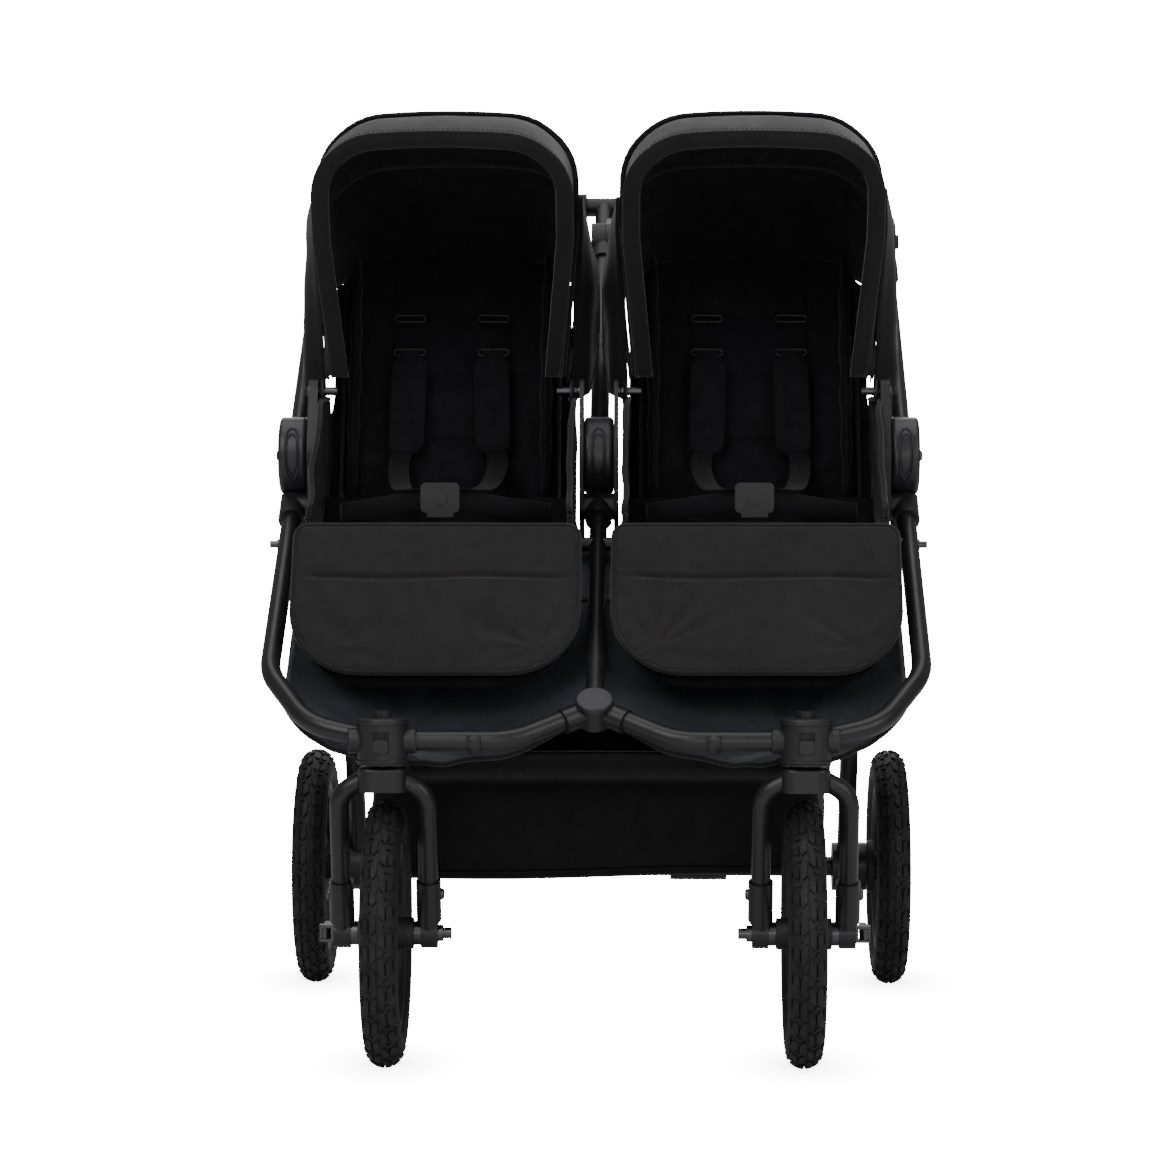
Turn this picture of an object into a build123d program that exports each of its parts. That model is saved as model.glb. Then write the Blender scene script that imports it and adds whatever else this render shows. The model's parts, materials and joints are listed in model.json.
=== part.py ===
"""Side-by-side twin jogging stroller: four air-filled wheels, a folding handle, two seats, two canopies.

Millimetres. The children face -Y, +Z is up, and the origin is on the ground under the middle.
"""

import os
from math import asin, atan2, cos, hypot, radians, sin

from build123d import *

# ---------------------------------------------------------------- driving dimensions
# clearances
running = 0.06
gap = 0.5

# wheels
wheel_radius = 146.0
tyre_width = 44.0
tyre_wall = 3.5
rim_depth = 12.0
rim_width = 30.0
rim_chamfer = 4.0
bead_inset = 1.036
front_track = 452.0
rear_track = 712.0
wheelbase = 620.0
front_hub_half = 30.0
axle_radius = 6.0
hub_barrel_wall = 11.0
spoke_count = 5
spoke_width = 16.0
spoke_thickness = 10.0

# front forks
fork_trail = 50.0
fork_leg_radius = 10.5
fork_leg_bend = 26.0
fork_sleeve_length = 62.0
tyre_to_fork = 14.5
tyre_to_crown = 13.0
fork_eye_wall = 10.0
fork_eye_half = 9.0
spacer_wall = 7.0
steerer_radius = 9.0
head_radius = 27.0
head_height = 50.0
head_knob_radius = 10.0
head_knob_sides = 12
head_knob_height = 7.0
crown_gap = 3.0
crown_height = 26.0
crown_width = 52.0
crown_depth = 44.0
lever_pin_radius = 3.0
lever_length = 56.0
lock_width = 16.0
lock_height = 14.0
lock_depth = 7.0
lock_travel = 8.0

# main frame
tube_radius = 11.0
tube_wall = 1.8
hub_back = 330.0
hub_height = 660.0
tube_offset = 38.0
frame_side_bow = 2.0
frame_knee_along = 118.0
frame_bend_x = 308.0
frame_bend_along = 28.0
centre_rise = 50.0
hub_pin_radius = 6.0
hub_cover_radius = 45.0
hub_cover_in = 16.0
hub_cover_out = 17.0
centre_cover_half = 17.0
plate_thickness = 11.0
centre_plate_thickness = 5.0
socket_wall = 4.5
stud_radius = 4.0
stud_length = 10.0
stud_collar_radius = 6.0
stud_collar_length = 1.5
stud_sink = 2.0

# handle
handle_x = 354.0
handle_angle = 33.8
upright_start = 18.0
tilt_at = 480.0
grip_reach = 86.0
bar_radius = 12.0
bar_corner = 56.0
grip_radius = 17.0
button_radius = 9.0
button_travel = 4.0
trigger_drop = 63.0
trigger_length = 32.0
trigger_thickness = 4.0

# rear legs
leg_behind_hub = 35.0
leg_under_cover = 10.0
leg_eye_wall = 8.0
leg_knee = 70.0
leg_ankle = 175.0
leg_bend = 90.0
beam_radius = 12.0
housing_radius = 30.0
housing_width = 42.0
housing_to_wheel = 28.0
leg_to_wheel = 53.0
rear_hub_outer = 15.0
brake_ring_width = 7.0
brake_pin_radius = 3.0
brake_pin_length = 30.0
brake_hole_slack = 1.2
brake_holes = 12
pedal_x = 120.0
pedal_width = 70.0
pedal_reach = 66.0
pedal_thickness = 9.0

# seats
cross_tube_radius = 8.0
cross_tube_drop = 124.0
rail_radius = 6.0
rail_spread = 140.0
leg_rest_rod_radius = 5.0
leg_rest_before_hub = 190.0
leg_rest_over_seat_bottom = 5.0
recline_behind_hub = 40.0
recline_under_seat = 15.0
recline_rod_radius = 6.0
board_thickness = 6.0
board_corner = 40.0
backrest_length = 360.0
backrest_width = 262.0
backrest_pad = 20.0
backrest_pad_start = 45.0
backrest_angle = 20.0
seat_width = 262.0
seat_over_tube = 2.682
seat_thickness = 22.0
seat_side_height = 135.0
leg_board_thickness = 5.0
leg_rest_start = 10.0
leg_rest_over_heads = 63.42
leg_rest_width = 315.0
leg_rest_pad = 19.0
leg_rest_corner = 74.0
leg_rest_angle = 31.0
hinge_barrel_wall = 3.5
buckle_before_hub = 140.0
buckle_width = 44.0
buckle_height = 34.0
buckle_depth = 12.0
buckle_button_radius = 8.0

# canopies
canopy_over_cover = 30.0
canopy_radius = 326.0
canopy_to_centre = 22.0
canopy_foot_inset = 15.0
canopy_shoulder = 190.0
canopy_corner = 78.0
canopy_shoulder_bend = 60.0
canopy_skin = 1.5
canopy_step = 4.0
canopy_front_angle = 26.0
canopy_panel_angle = 30.0
canopy_panel_lap = 1.0
canopy_pin_radius = 5.0
canopy_eye_radius = 16.0

# basket and footwell
basket_half_width = 266.0
basket_behind_wheel = 14.0
basket_before_axle = 82.0
basket_depth = 123.0
basket_over_wheel = 12.0
basket_lip_front = 20.0
basket_lip_depth = 24.0
rail_gap = 8.0
cloth = 3.0
footwell_front = -20.0
footwell_back = 130.0
footwell_under_head = 9.0
footwell_over_head = 46.0
footwell_half_width = 335.0
footwell_centre_x = 14.0

# ---------------------------------------------------------------- sizes and places that follow
tyre_section = tyre_width / 2
bead_half = rim_width / 2 - bead_inset
rim_radius = wheel_radius - tyre_section - (tyre_section**2 - bead_half**2) ** 0.5
hub_barrel_radius = axle_radius + hub_barrel_wall
fork_spread = tyre_section + tyre_to_fork + fork_leg_radius
fork_eye_radius = axle_radius + fork_eye_wall
spacer_radius = axle_radius + spacer_wall
crown_bottom = 2 * wheel_radius + tyre_to_crown
crown_top = crown_bottom + crown_height
head_bottom = crown_top + crown_gap
head_z = head_bottom + head_height / 2
head_top = head_bottom + head_height
socket_radius = tube_radius + socket_wall
leg_eye_radius = hub_pin_radius + leg_eye_wall

# places across the stroller
front_x = front_track / 2
rear_x = rear_track / 2
seat_centre = handle_x / 2
hub_cover_inner = handle_x - hub_cover_in
hub_cover_outer = handle_x + hub_cover_out
frame_tube_x = handle_x + 1
leg_top_x = handle_x - 1
leg_foot_x = rear_x - leg_to_wheel
housing_outer = rear_x - housing_to_wheel
housing_inner = housing_outer - housing_width
brake_ring_inner = housing_outer + 2
brake_ring_outer = brake_ring_inner + brake_ring_width
brake_ring_radius = housing_radius + 3
brake_circle = housing_radius - 7
brake_hole_radius = brake_pin_radius + brake_hole_slack
canopy_half_width = seat_centre - canopy_to_centre
canopy_foot_half_width = canopy_half_width - canopy_foot_inset

# places along the stroller; its middle is over the origin
upright_end = tilt_at - 25
trigger_from = upright_end - trigger_drop
grip_out = tilt_at + grip_reach
rear_reach = max(hub_back + grip_out * cos(radians(handle_angle)) + grip_radius, wheelbase + wheel_radius)
front_axle_y = wheel_radius - (wheel_radius + rear_reach) / 2
steer_y = front_axle_y - fork_trail
hub_y = front_axle_y + hub_back
rear_axle_y = front_axle_y + wheelbase
leg_y = hub_y + leg_behind_hub
leg_height = hub_height - hub_cover_radius - leg_under_cover
leg_rest_y = hub_y - leg_rest_before_hub
recline_y = hub_y + recline_behind_hub
buckle_y = hub_y - buckle_before_hub
canopy_y = hub_y
canopy_height = hub_height + hub_cover_radius + canopy_over_cover

# the main frame's tubes lie in one plane that passes tube_offset under the hub axis
frame_run = hypot(hub_y - steer_y, hub_height - head_z)
frame_slope = atan2(hub_height - head_z, hub_y - steer_y) - asin(tube_offset / frame_run)
hub_foot = (frame_run**2 - tube_offset**2) ** 0.5
tube_end = hub_foot - (hub_cover_radius + 8)
leg_lean = atan2(rear_axle_y - leg_y, leg_height - wheel_radius)
leg_run = hypot(rear_axle_y - leg_y, leg_height - wheel_radius)
cross_along = hub_foot - cross_tube_drop
cross_y = steer_y + cross_along * cos(frame_slope)
cross_z = head_z + cross_along * sin(frame_slope)

# heights of the seat follow the tube that it rests over
seat_bottom = cross_z + cross_tube_radius + seat_over_tube
seat_top = seat_bottom + seat_thickness
seat_side_top = seat_top + seat_side_height
leg_rest_height = seat_bottom + leg_rest_over_seat_bottom
leg_rest_length = (leg_rest_height - head_z - leg_rest_over_heads) / cos(radians(leg_rest_angle))
leg_rest_bend = min(leg_rest_corner, 0.9 * (leg_rest_length - leg_rest_start))
recline_height = seat_bottom - recline_under_seat

# the basket hangs behind the front wheels and under the steering heads
basket_front_y = front_axle_y + wheel_radius + basket_behind_wheel
basket_rear_y = rear_axle_y - basket_before_axle
basket_lip_y = front_axle_y + basket_lip_front
basket_lip_height = 2 * wheel_radius + basket_over_wheel
basket_top = basket_lip_height + basket_lip_depth
basket_bottom = basket_lip_height - basket_depth
footwell_low = head_z - footwell_under_head
footwell_high = head_z + footwell_over_head

os.makedirs("parts", exist_ok=True)


def save(shape, name):
    """Writes one sub-part as its own STEP file."""
    shape.label = name
    export_step(shape, f"parts/{name}.step")


def save_group(shapes, name):
    """Writes several separate solids as one node."""
    save(Compound(label=name, children=[solid for shape in shapes for solid in shape.solids()]), name)


def side_name(side):
    """The child's right is -X, and names follow the view from in front of the stroller."""
    return "left" if side < 0 else "right"


def span(side, near, far):
    """The two ends along X of something between near and far on one side, lower value first."""
    return sorted((side * near, side * far))


def on_frame(x, along):
    """A point of the main frame's plane, along mm up the slope from the steering heads."""
    return (x, steer_y + along * cos(frame_slope), head_z + along * sin(frame_slope))


def on_handle(x, out):
    """A point of the handle's plane, out mm from the hub axis."""
    return (x, hub_y + out * cos(radians(handle_angle)), hub_height + out * sin(radians(handle_angle)))


def on_leg(x, down):
    """A point of the rear legs' plane, down mm from their pivot."""
    return (x, leg_y + down * sin(leg_lean), leg_height - down * cos(leg_lean))


def tube(points, radii, outer, wall=0.0):
    """A round tube along straight runs joined by arcs; a wall of 0 makes it solid."""
    with BuildPart() as swept:
        with BuildLine() as path:
            if len(points) == 2:
                Line(*points)
            else:
                FilletPolyline(*points, radius=radii)
        with BuildSketch(Plane(origin=path.line @ 0, z_dir=path.line % 0)):
            Circle(outer)
            if wall:
                Circle(outer - wall, mode=Mode.SUBTRACT)
        sweep()
    return swept.part


def across(x_low, x_high, y, z, radius, bore=0.0):
    """A round bar along X, with a hole of radius bore through it."""
    with BuildPart() as bar:
        with BuildSketch(Plane.YZ.offset(x_low)):
            with Locations((y, z)):
                Circle(radius)
                if bore:
                    Circle(bore, mode=Mode.SUBTRACT)
        extrude(amount=x_high - x_low)
    return bar.part


def lobed(x_low, x_high, circles):
    """A plate across X whose outline is wrapped round several circles of (y, z, radius)."""
    with BuildPart() as plate:
        with BuildSketch(Plane.YZ.offset(x_low)) as outline:
            for y, z, radius in circles:
                with Locations((y, z)):
                    Circle(radius)
            make_hull()
        extrude(amount=x_high - x_low)
    return plate.part


def slab(centre_x, origin_y, origin_z, lean, width, start, length, low, high, corner):
    """A leaning board; lean turns its length from straight up towards +Y, low to high is its thickness."""
    up = (0, sin(lean), cos(lean))
    out = (0, -cos(lean), sin(lean))
    base = Plane(
        origin=(centre_x, origin_y + low * out[1], origin_z + low * out[2]),
        x_dir=(1, 0, 0),
        z_dir=out,
    )
    flip = 1 if base.y_dir.dot(Vector(*up)) > 0 else -1
    with BuildPart() as board:
        with BuildSketch(base) as outline:
            with Locations((0, flip * (start + length / 2))):
                Rectangle(width, length)
            corners = outline.vertices().sort_by(Axis.Y)
            if corner:
                fillet(corners[-2:] if flip > 0 else corners[:2], corner)
        extrude(amount=high - low)
    return board.part


# ---------------------------------------------------------------- main frame tubes
outer_route = [
    (frame_tube_x, tube_end),
    (frame_tube_x + frame_side_bow, frame_knee_along),
    (frame_bend_x, frame_bend_along),
    (front_x + head_radius - 9, 5),
]
outer_radii = [85, 75]
inner_route = [(front_x - head_radius + 9, 0), (88, 0), (12, centre_rise - 1)]
inner_radius = 80

frame_tubes = []
frame_rods = []
for side in (-1, 1):
    for route, bends in ((outer_route, outer_radii), (inner_route, inner_radius)):
        points = [on_frame(side * x, along) for x, along in route]
        frame_tubes.append(tube(points, bends, tube_radius, tube_wall))
        frame_rods.append(tube(points, bends, tube_radius))
centre_points = [on_frame(0, centre_rise + 14), on_frame(0, tube_end)]
frame_tubes.append(tube(centre_points, 0, tube_radius - 1, tube_wall))
frame_rods.append(tube(centre_points, 0, tube_radius - 1))
save_group(frame_tubes, "frame_tubes")

# ---------------------------------------------------------------- centre joint and its round cap
joint_normal = (0, -sin(frame_slope), cos(frame_slope))
joint_plane = Plane(origin=on_frame(0, centre_rise), x_dir=(1, 0, 0), z_dir=joint_normal)
joint_radius = tube_radius + 8
joint_half = tube_radius + 2
joint_stubs = []
for side in (-1, 1):
    stub_ends = [on_frame(side * 10, centre_rise - 2), on_frame(side * 34, centre_rise - 17.5)]
    joint_stubs.append(tube(stub_ends, 0, tube_radius + 2.5))
with BuildPart() as centre_cap:
    with BuildSketch(joint_plane.offset(joint_half)):
        Circle(joint_radius + 1.5)
    extrude(amount=6)
    fillet(centre_cap.faces().sort_by(Axis((0, 0, 0), joint_normal))[-1].edges(), 2.5)
save(centre_cap.part, "centre_cap")

with BuildPart() as centre_joint:
    with BuildSketch(joint_plane.offset(-joint_half)):
        Circle(joint_radius)
    extrude(amount=2 * joint_half)
    for stub in joint_stubs:
        add(stub)
    for rod in frame_rods:
        add(rod, mode=Mode.SUBTRACT)
    add(centre_cap.part, mode=Mode.SUBTRACT)
save(centre_joint.part.solids().sort_by(SortBy.VOLUME)[-1], "centre_joint")


# ---------------------------------------------------------------- steering heads
heads = []
for side in (-1, 1):
    with BuildPart() as head:
        with BuildSketch(Plane.XY.offset(head_bottom)):
            with Locations((side * front_x, steer_y)):
                Circle(head_radius)
        extrude(amount=head_height)
        fillet(head.faces().sort_by(Axis.Z)[-1].edges(), 4)
        with BuildSketch(Plane.XY.offset(head_bottom)):
            with Locations((side * front_x, steer_y)):
                Circle(steerer_radius + running)
        extrude(amount=head_height - 6, mode=Mode.SUBTRACT)
        with BuildSketch(Plane.XZ.offset(-steer_y + head_radius - lock_depth)):
            with Locations((side * front_x, head_z)):
                Rectangle(lock_width + gap, lock_height + lock_travel + gap)
        extrude(amount=lock_depth + 1, mode=Mode.SUBTRACT)
        for rod in frame_rods:
            add(rod, mode=Mode.SUBTRACT)
    heads.append(head.part)
    with BuildPart() as knob:
        with BuildSketch(Plane.XY.offset(head_top)):
            with Locations((side * front_x, steer_y)):
                RegularPolygon(head_knob_radius, head_knob_sides)
        extrude(amount=head_knob_height)
    heads.append(knob.part)

    with BuildPart() as lock:
        with BuildSketch(Plane.XZ.offset(-steer_y + head_radius - lock_depth + gap)):
            with Locations((side * front_x, head_z - lock_travel / 2)):
                RectangleRounded(lock_width, lock_height, 3)
        extrude(amount=lock_depth + 3)
    save(lock.part, f"swivel_lock_{side_name(side)}")
save_group(heads, "steering_heads")

# ---------------------------------------------------------------- front forks, their axles and levers
for side in (-1, 1):
    name = side_name(side)
    centre = side * front_x
    fork_legs = []
    for leg in (-1, 1):
        leg_x = centre + leg * fork_spread
        route = [
            (centre + leg * 16, steer_y, crown_top - 12),
            (leg_x, steer_y, crown_bottom - 2),
            (leg_x, front_axle_y, wheel_radius),
        ]
        fork_legs.append(tube(route, fork_leg_bend, fork_leg_radius))
        rake = Vector(*route[2]) - Vector(*route[1])
        sleeve_top = Vector(*route[2]) - rake.normalized() * fork_sleeve_length
        fork_legs.append(tube([tuple(sleeve_top), route[2]], 0, fork_leg_radius + 3))
        eye_ends = (leg_x - fork_eye_half, leg_x + fork_eye_half)
        fork_legs.append(across(*eye_ends, front_axle_y, wheel_radius, fork_eye_radius))
    with BuildPart() as fork:
        with BuildSketch(Plane.XY.offset(crown_bottom)):
            with Locations((centre, steer_y)):
                RectangleRounded(crown_width, crown_depth, 14)
        extrude(amount=crown_height)
        fillet(fork.faces().sort_by(Axis.Z)[-1].edges(), 4)
        with BuildSketch(Plane.XY.offset(crown_top - 1)):
            with Locations((centre, steer_y)):
                Circle(steerer_radius)
        extrude(amount=head_top - 8 - crown_top)
        for piece in fork_legs:
            add(piece)
        spacer_room = fork_spread - fork_eye_half
        eye_out = fork_spread + fork_eye_half
        for low, high, room in (
            (centre - spacer_room, centre + spacer_room, spacer_radius + gap),
            (centre - eye_out - 10, centre - eye_out, fork_eye_radius + 1),
            (centre + eye_out, centre + eye_out + 10, fork_eye_radius + 1),
        ):
            add(across(low, high, front_axle_y, wheel_radius, room), mode=Mode.SUBTRACT)
        add(across(centre - 80, centre + 80, front_axle_y, wheel_radius, axle_radius), mode=Mode.SUBTRACT)
    save(fork.part, f"fork_{name}")

    inner = fork_spread + fork_eye_half
    nut_ends = sorted((centre - side * inner, centre - side * (inner + 6)))
    nut = across(*nut_ends, front_axle_y, wheel_radius, axle_radius + 3)
    acorn_ends = sorted((centre - side * (inner + 6), centre - side * (inner + 15)))
    acorn = across(*acorn_ends, front_axle_y, wheel_radius, axle_radius)
    cam_low, cam_high = sorted((centre + side * inner, centre + side * (inner + 16)))
    cam_x = centre + side * (inner + 10)
    with BuildPart() as axle:
        add(across(centre - inner, centre + inner, front_axle_y, wheel_radius, axle_radius))
        for leg in (-1, 1):
            spacer_span = (front_hub_half + gap, fork_spread - fork_eye_half)
            ends = sorted(centre + leg * reach for reach in spacer_span)
            add(across(*ends, front_axle_y, wheel_radius, spacer_radius))
        add(nut)
        add(acorn)
        with Locations(((cam_low + cam_high) / 2, front_axle_y, wheel_radius)):
            Box(cam_high - cam_low, 2 * axle_radius + 2, 2 * axle_radius + 6)
        with BuildSketch(Plane.XY.offset(wheel_radius - 6)):
            with Locations((cam_x + side * 1.5, front_axle_y)):
                Rectangle(17, 2 * axle_radius + 4)
        extrude(amount=12, mode=Mode.SUBTRACT)
        with BuildSketch(Plane.XY.offset(wheel_radius - 8)):
            with Locations((cam_x, front_axle_y)):
                Circle(lever_pin_radius)
        extrude(amount=16)
    save(axle.part, f"front_axle_{name}")

    with BuildPart() as lever:
        with BuildSketch(Plane.XY.offset(wheel_radius - 5.5)):
            with Locations((cam_x, front_axle_y)):
                Circle(6)
            with Locations((cam_x + side * 0.5, front_axle_y + lever_length / 2)):
                RectangleRounded(8, lever_length, 3)
            with Locations((cam_x, front_axle_y)):
                Circle(lever_pin_radius + running, mode=Mode.SUBTRACT)
        extrude(amount=11)
    save(lever.part, f"quick_release_{name}")

# ---------------------------------------------------------------- wheels


def tyre_at(x, y):
    """A hollow air-filled tyre seated on its rim."""
    with BuildPart() as tyre:
        with BuildSketch(Plane.XY.offset(wheel_radius)):
            with Locations((x, y + wheel_radius - tyre_section)):
                Circle(tyre_section)
                Circle(tyre_section - tyre_wall, mode=Mode.SUBTRACT)
            with Locations((x, y + rim_radius / 2)):
                Rectangle(tyre_width + 2, rim_radius, mode=Mode.SUBTRACT)
        revolve(axis=Axis((x, y, wheel_radius), (1, 0, 0)))
    return tyre.part


def wheel_at(x, y, half_in, half_out, side, braked):
    """Rim, spokes and hub in one moulding; half_in and half_out are the hub's ends from its middle."""
    hub_low, hub_high = sorted((x - side * half_in, x + side * half_out))
    with BuildPart() as wheel:
        with BuildSketch(Plane.YZ.offset(x - rim_width / 2)):
            with Locations((y, wheel_radius)):
                Circle(rim_radius)
                Circle(rim_radius - rim_depth, mode=Mode.SUBTRACT)
        extrude(amount=rim_width)
        inner_edges = wheel.edges().filter_by(GeomType.CIRCLE).group_by(SortBy.RADIUS)[0]
        chamfer(inner_edges, rim_chamfer)
        with BuildSketch(Plane.YZ.offset(x - spoke_thickness / 2)):
            with Locations((y, wheel_radius)):
                for number in range(spoke_count):
                    with Locations(Rotation(0, 0, 90 + number * 360 / spoke_count)):
                        with Locations(((rim_radius - rim_depth / 2) / 2, 0)):
                            Rectangle(rim_radius - rim_depth / 2, spoke_width)
        extrude(amount=spoke_thickness)
        add(across(hub_low, hub_high, y, wheel_radius, hub_barrel_radius))
        if braked:
            ring_low, ring_high = span(side, brake_ring_inner, brake_ring_outer)
            add(across(ring_low, ring_high, y, wheel_radius, brake_ring_radius))
            with BuildSketch(Plane.YZ.offset(ring_low)):
                with Locations((y, wheel_radius)):
                    with PolarLocations(brake_circle, brake_holes, start_angle=90):
                        Circle(brake_hole_radius)
            extrude(amount=ring_high - ring_low, mode=Mode.SUBTRACT)
        add(across(hub_low - 1, hub_high + 1, y, wheel_radius, axle_radius + running), mode=Mode.SUBTRACT)
    return wheel.part


rear_hub_inner = rear_x - brake_ring_inner
for side in (-1, 1):
    name = side_name(side)
    save(tyre_at(side * front_x, front_axle_y), f"front_tyre_{name}")
    front_wheel = wheel_at(side * front_x, front_axle_y, front_hub_half, front_hub_half, side, False)
    save(front_wheel, f"front_wheel_{name}")
    save(tyre_at(side * rear_x, rear_axle_y), f"rear_tyre_{name}")
    rear_wheel = wheel_at(side * rear_x, rear_axle_y, rear_hub_inner, rear_hub_outer, side, True)
    save(rear_wheel, f"rear_wheel_{name}")

# ---------------------------------------------------------------- hub brackets, hub pins and studs
socket_mid = tube_end + 4
socket_ends = (tube_end - 24, tube_end + 26)
outer_lobes = [
    (hub_y, hub_height, hub_cover_radius - 3),
    (*on_frame(0, socket_mid)[1:], socket_radius),
    (leg_y, leg_height, leg_eye_radius),
    (recline_y, recline_height, 13),
    (canopy_y, canopy_height, 14),
]
brackets = []
fasteners = []
for side in (-1, 0, 1):
    if side:
        plates = [span(side, hub_cover_inner - gap - plate_thickness, hub_cover_inner - gap)]
        boss = span(side, hub_cover_inner - gap - plate_thickness, frame_tube_x)
        cut = span(side, hub_cover_inner - gap, hub_cover_outer + 20)
    else:
        inner_face = centre_cover_half + gap
        plates = [span(end, inner_face, inner_face + centre_plate_thickness) for end in (-1, 1)]
        boss = (-inner_face - centre_plate_thickness, inner_face + centre_plate_thickness)
        cut = (-inner_face, inner_face)
    socket_x = side * frame_tube_x
    socket = tube([on_frame(socket_x, end) for end in socket_ends], 0, socket_radius)
    with BuildPart() as bracket:
        for low, high in plates:
            add(lobed(low, high, outer_lobes))
        add(across(*boss, *on_frame(0, socket_mid)[1:], socket_radius))
        add(socket)
        add(across(*cut, hub_y, hub_height, hub_cover_radius + 1.5), mode=Mode.SUBTRACT)
        for rod in frame_rods:
            add(rod, mode=Mode.SUBTRACT)
        for y, z, radius in (
            (hub_y, hub_height, hub_pin_radius),
            (leg_y, leg_height, hub_pin_radius),
            (recline_y, recline_height, recline_rod_radius),
            (canopy_y, canopy_height, canopy_pin_radius),
        ):
            add(across(-hub_cover_outer, hub_cover_outer, y, z, radius), mode=Mode.SUBTRACT)
    brackets.append(bracket.part)
    if side:
        plate_x = hub_cover_inner - gap - plate_thickness
        canopy_reach = canopy_foot_half_width - 3 * canopy_step
        hub_pin = span(side, plate_x, hub_cover_outer + 1)
        leg_pin = span(side, plate_x, leg_top_x + tube_radius + 1)
        outer_pin = span(side, seat_centre + canopy_reach, plate_x + 5)
        inner_pin = span(side, centre_cover_half + gap, seat_centre - canopy_reach)
        fasteners.append(across(*hub_pin, hub_y, hub_height, hub_pin_radius))
        fasteners.append(across(*leg_pin, leg_y, leg_height, hub_pin_radius))
        fasteners.append(across(*outer_pin, canopy_y, canopy_height, canopy_pin_radius))
        fasteners.append(across(*inner_pin, canopy_y, canopy_height, canopy_pin_radius))
    else:
        centre_pin = (-inner_face - centre_plate_thickness, inner_face + centre_plate_thickness)
        fasteners.append(across(*centre_pin, hub_y, hub_height, hub_pin_radius))
save_group(brackets, "hub_brackets")

stud_start = frame_tube_x + tube_radius
for side in (-1, 1):
    collar_in = stud_start - stud_sink
    pin_ends = span(side, collar_in, stud_start + stud_length)
    collar_ends = span(side, collar_in, stud_start + stud_collar_length)
    with BuildPart() as stud:
        add(across(*pin_ends, cross_y, cross_z, stud_radius))
        add(across(*collar_ends, cross_y, cross_z, stud_collar_radius))
        add(frame_rods[0 if side < 0 else 2], mode=Mode.SUBTRACT)
    fasteners.append(stud.part.solids().sort_by(SortBy.VOLUME)[-1])
save_group(fasteners, "frame_fasteners")

# ---------------------------------------------------------------- handle
covers = []
uprights = []
upright_rods = []
housings = []
bar_discs = []
tilt_y, tilt_z = on_handle(0, tilt_at)[1:]
for side in (-1, 0, 1):
    x = side * handle_x
    ends = [on_handle(x, upright_start), on_handle(x, upright_end)]
    uprights.append(tube(ends, 0, tube_radius, tube_wall))
    rod = tube(ends, 0, tube_radius)
    upright_rods.append(rod)
    low, high = (-centre_cover_half, centre_cover_half)
    if side:
        low, high = span(side, hub_cover_inner, hub_cover_outer)
    with BuildPart() as cover:
        add(across(low, high, hub_y, hub_height, hub_cover_radius))
        fillet(cover.edges().filter_by(GeomType.CIRCLE), 5)
        add(across(low - 5, high + 5, hub_y, hub_height, hub_pin_radius + running), mode=Mode.SUBTRACT)
        add(rod, mode=Mode.SUBTRACT)
    covers.append(cover.part)

    turn = side if side else 1
    tilt_half = tube_radius + 4
    tilt_radius = 2 * bar_radius
    inward = sorted((x - turn * tilt_half, x + turn * 3))
    outward = sorted((x + turn * 3.5, x + turn * tilt_half))
    pin = sorted((x - turn * tilt_half, x + turn * (tilt_half - 7)))
    socket = tube([on_handle(x, upright_end - 24), on_handle(x, tilt_at)], 0, tube_radius + 3.5)
    with BuildPart() as housing:
        add(socket)
        add(across(*outward, tilt_y, tilt_z, tilt_radius + 2), mode=Mode.SUBTRACT)
        add(across(*inward, tilt_y, tilt_z, tilt_radius))
        add(across(*pin, tilt_y, tilt_z, hub_pin_radius))
        add(rod, mode=Mode.SUBTRACT)
    housings.append(housing.part)

    with BuildPart() as bar_disc:
        bar_end = (*on_handle(0, tilt_at + 30)[1:], bar_radius + 3)
        add(lobed(*outward, [(tilt_y, tilt_z, tilt_radius), bar_end]))
        pin_hole = sorted((x + turn * 3, x + turn * (tilt_half - 6.5)))
        add(across(*pin_hole, tilt_y, tilt_z, hub_pin_radius + running), mode=Mode.SUBTRACT)
        if side:
            pocket = sorted((x + side * (tilt_half - 5.4), x + side * (tilt_half + 1)))
            add(across(*pocket, tilt_y, tilt_z, button_radius + running), mode=Mode.SUBTRACT)
    bar_discs.append(bar_disc.part)
    if side:
        face = x + side * tilt_half
        ends = sorted((face - side * (5 - button_travel), face + side * (button_travel + 0.5)))
        save(across(*ends, tilt_y, tilt_z, button_radius), f"tilt_button_{side_name(side)}")
        trigger_ends = [on_handle(x, trigger_from), on_handle(x, trigger_from + trigger_length)]
        with BuildPart() as trigger:
            add(tube(trigger_ends, 0, tube_radius + trigger_thickness))
            add(tube(trigger_ends, 0, tube_radius + running), mode=Mode.SUBTRACT)
        save(trigger.part, f"fold_trigger_{side_name(side)}")
save_group(uprights, "handle_uprights")
save_group(covers, "hub_covers")
save_group(housings, "tilt_housings")

bar_route = [
    on_handle(-handle_x, tilt_at + 28),
    on_handle(-handle_x, grip_out),
    on_handle(handle_x, grip_out),
    on_handle(handle_x, tilt_at + 28),
]
with BuildPart() as handlebar:
    add(tube(bar_route, [bar_corner, bar_corner], bar_radius))
    add(tube([on_handle(0, tilt_at + 28), on_handle(0, grip_out)], 0, bar_radius - 1))
    for disc in bar_discs:
        add(disc)
save(handlebar.part, "handlebar")

grip_y, grip_z = on_handle(0, grip_out)[1:]
grips = []
for side in (-1, 1):
    grip_ends = span(side, bar_radius + 10, handle_x - bar_corner - 6)
    grips.append(across(*grip_ends, grip_y, grip_z, grip_radius, bar_radius))
save_group(grips, "handle_grips")

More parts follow.
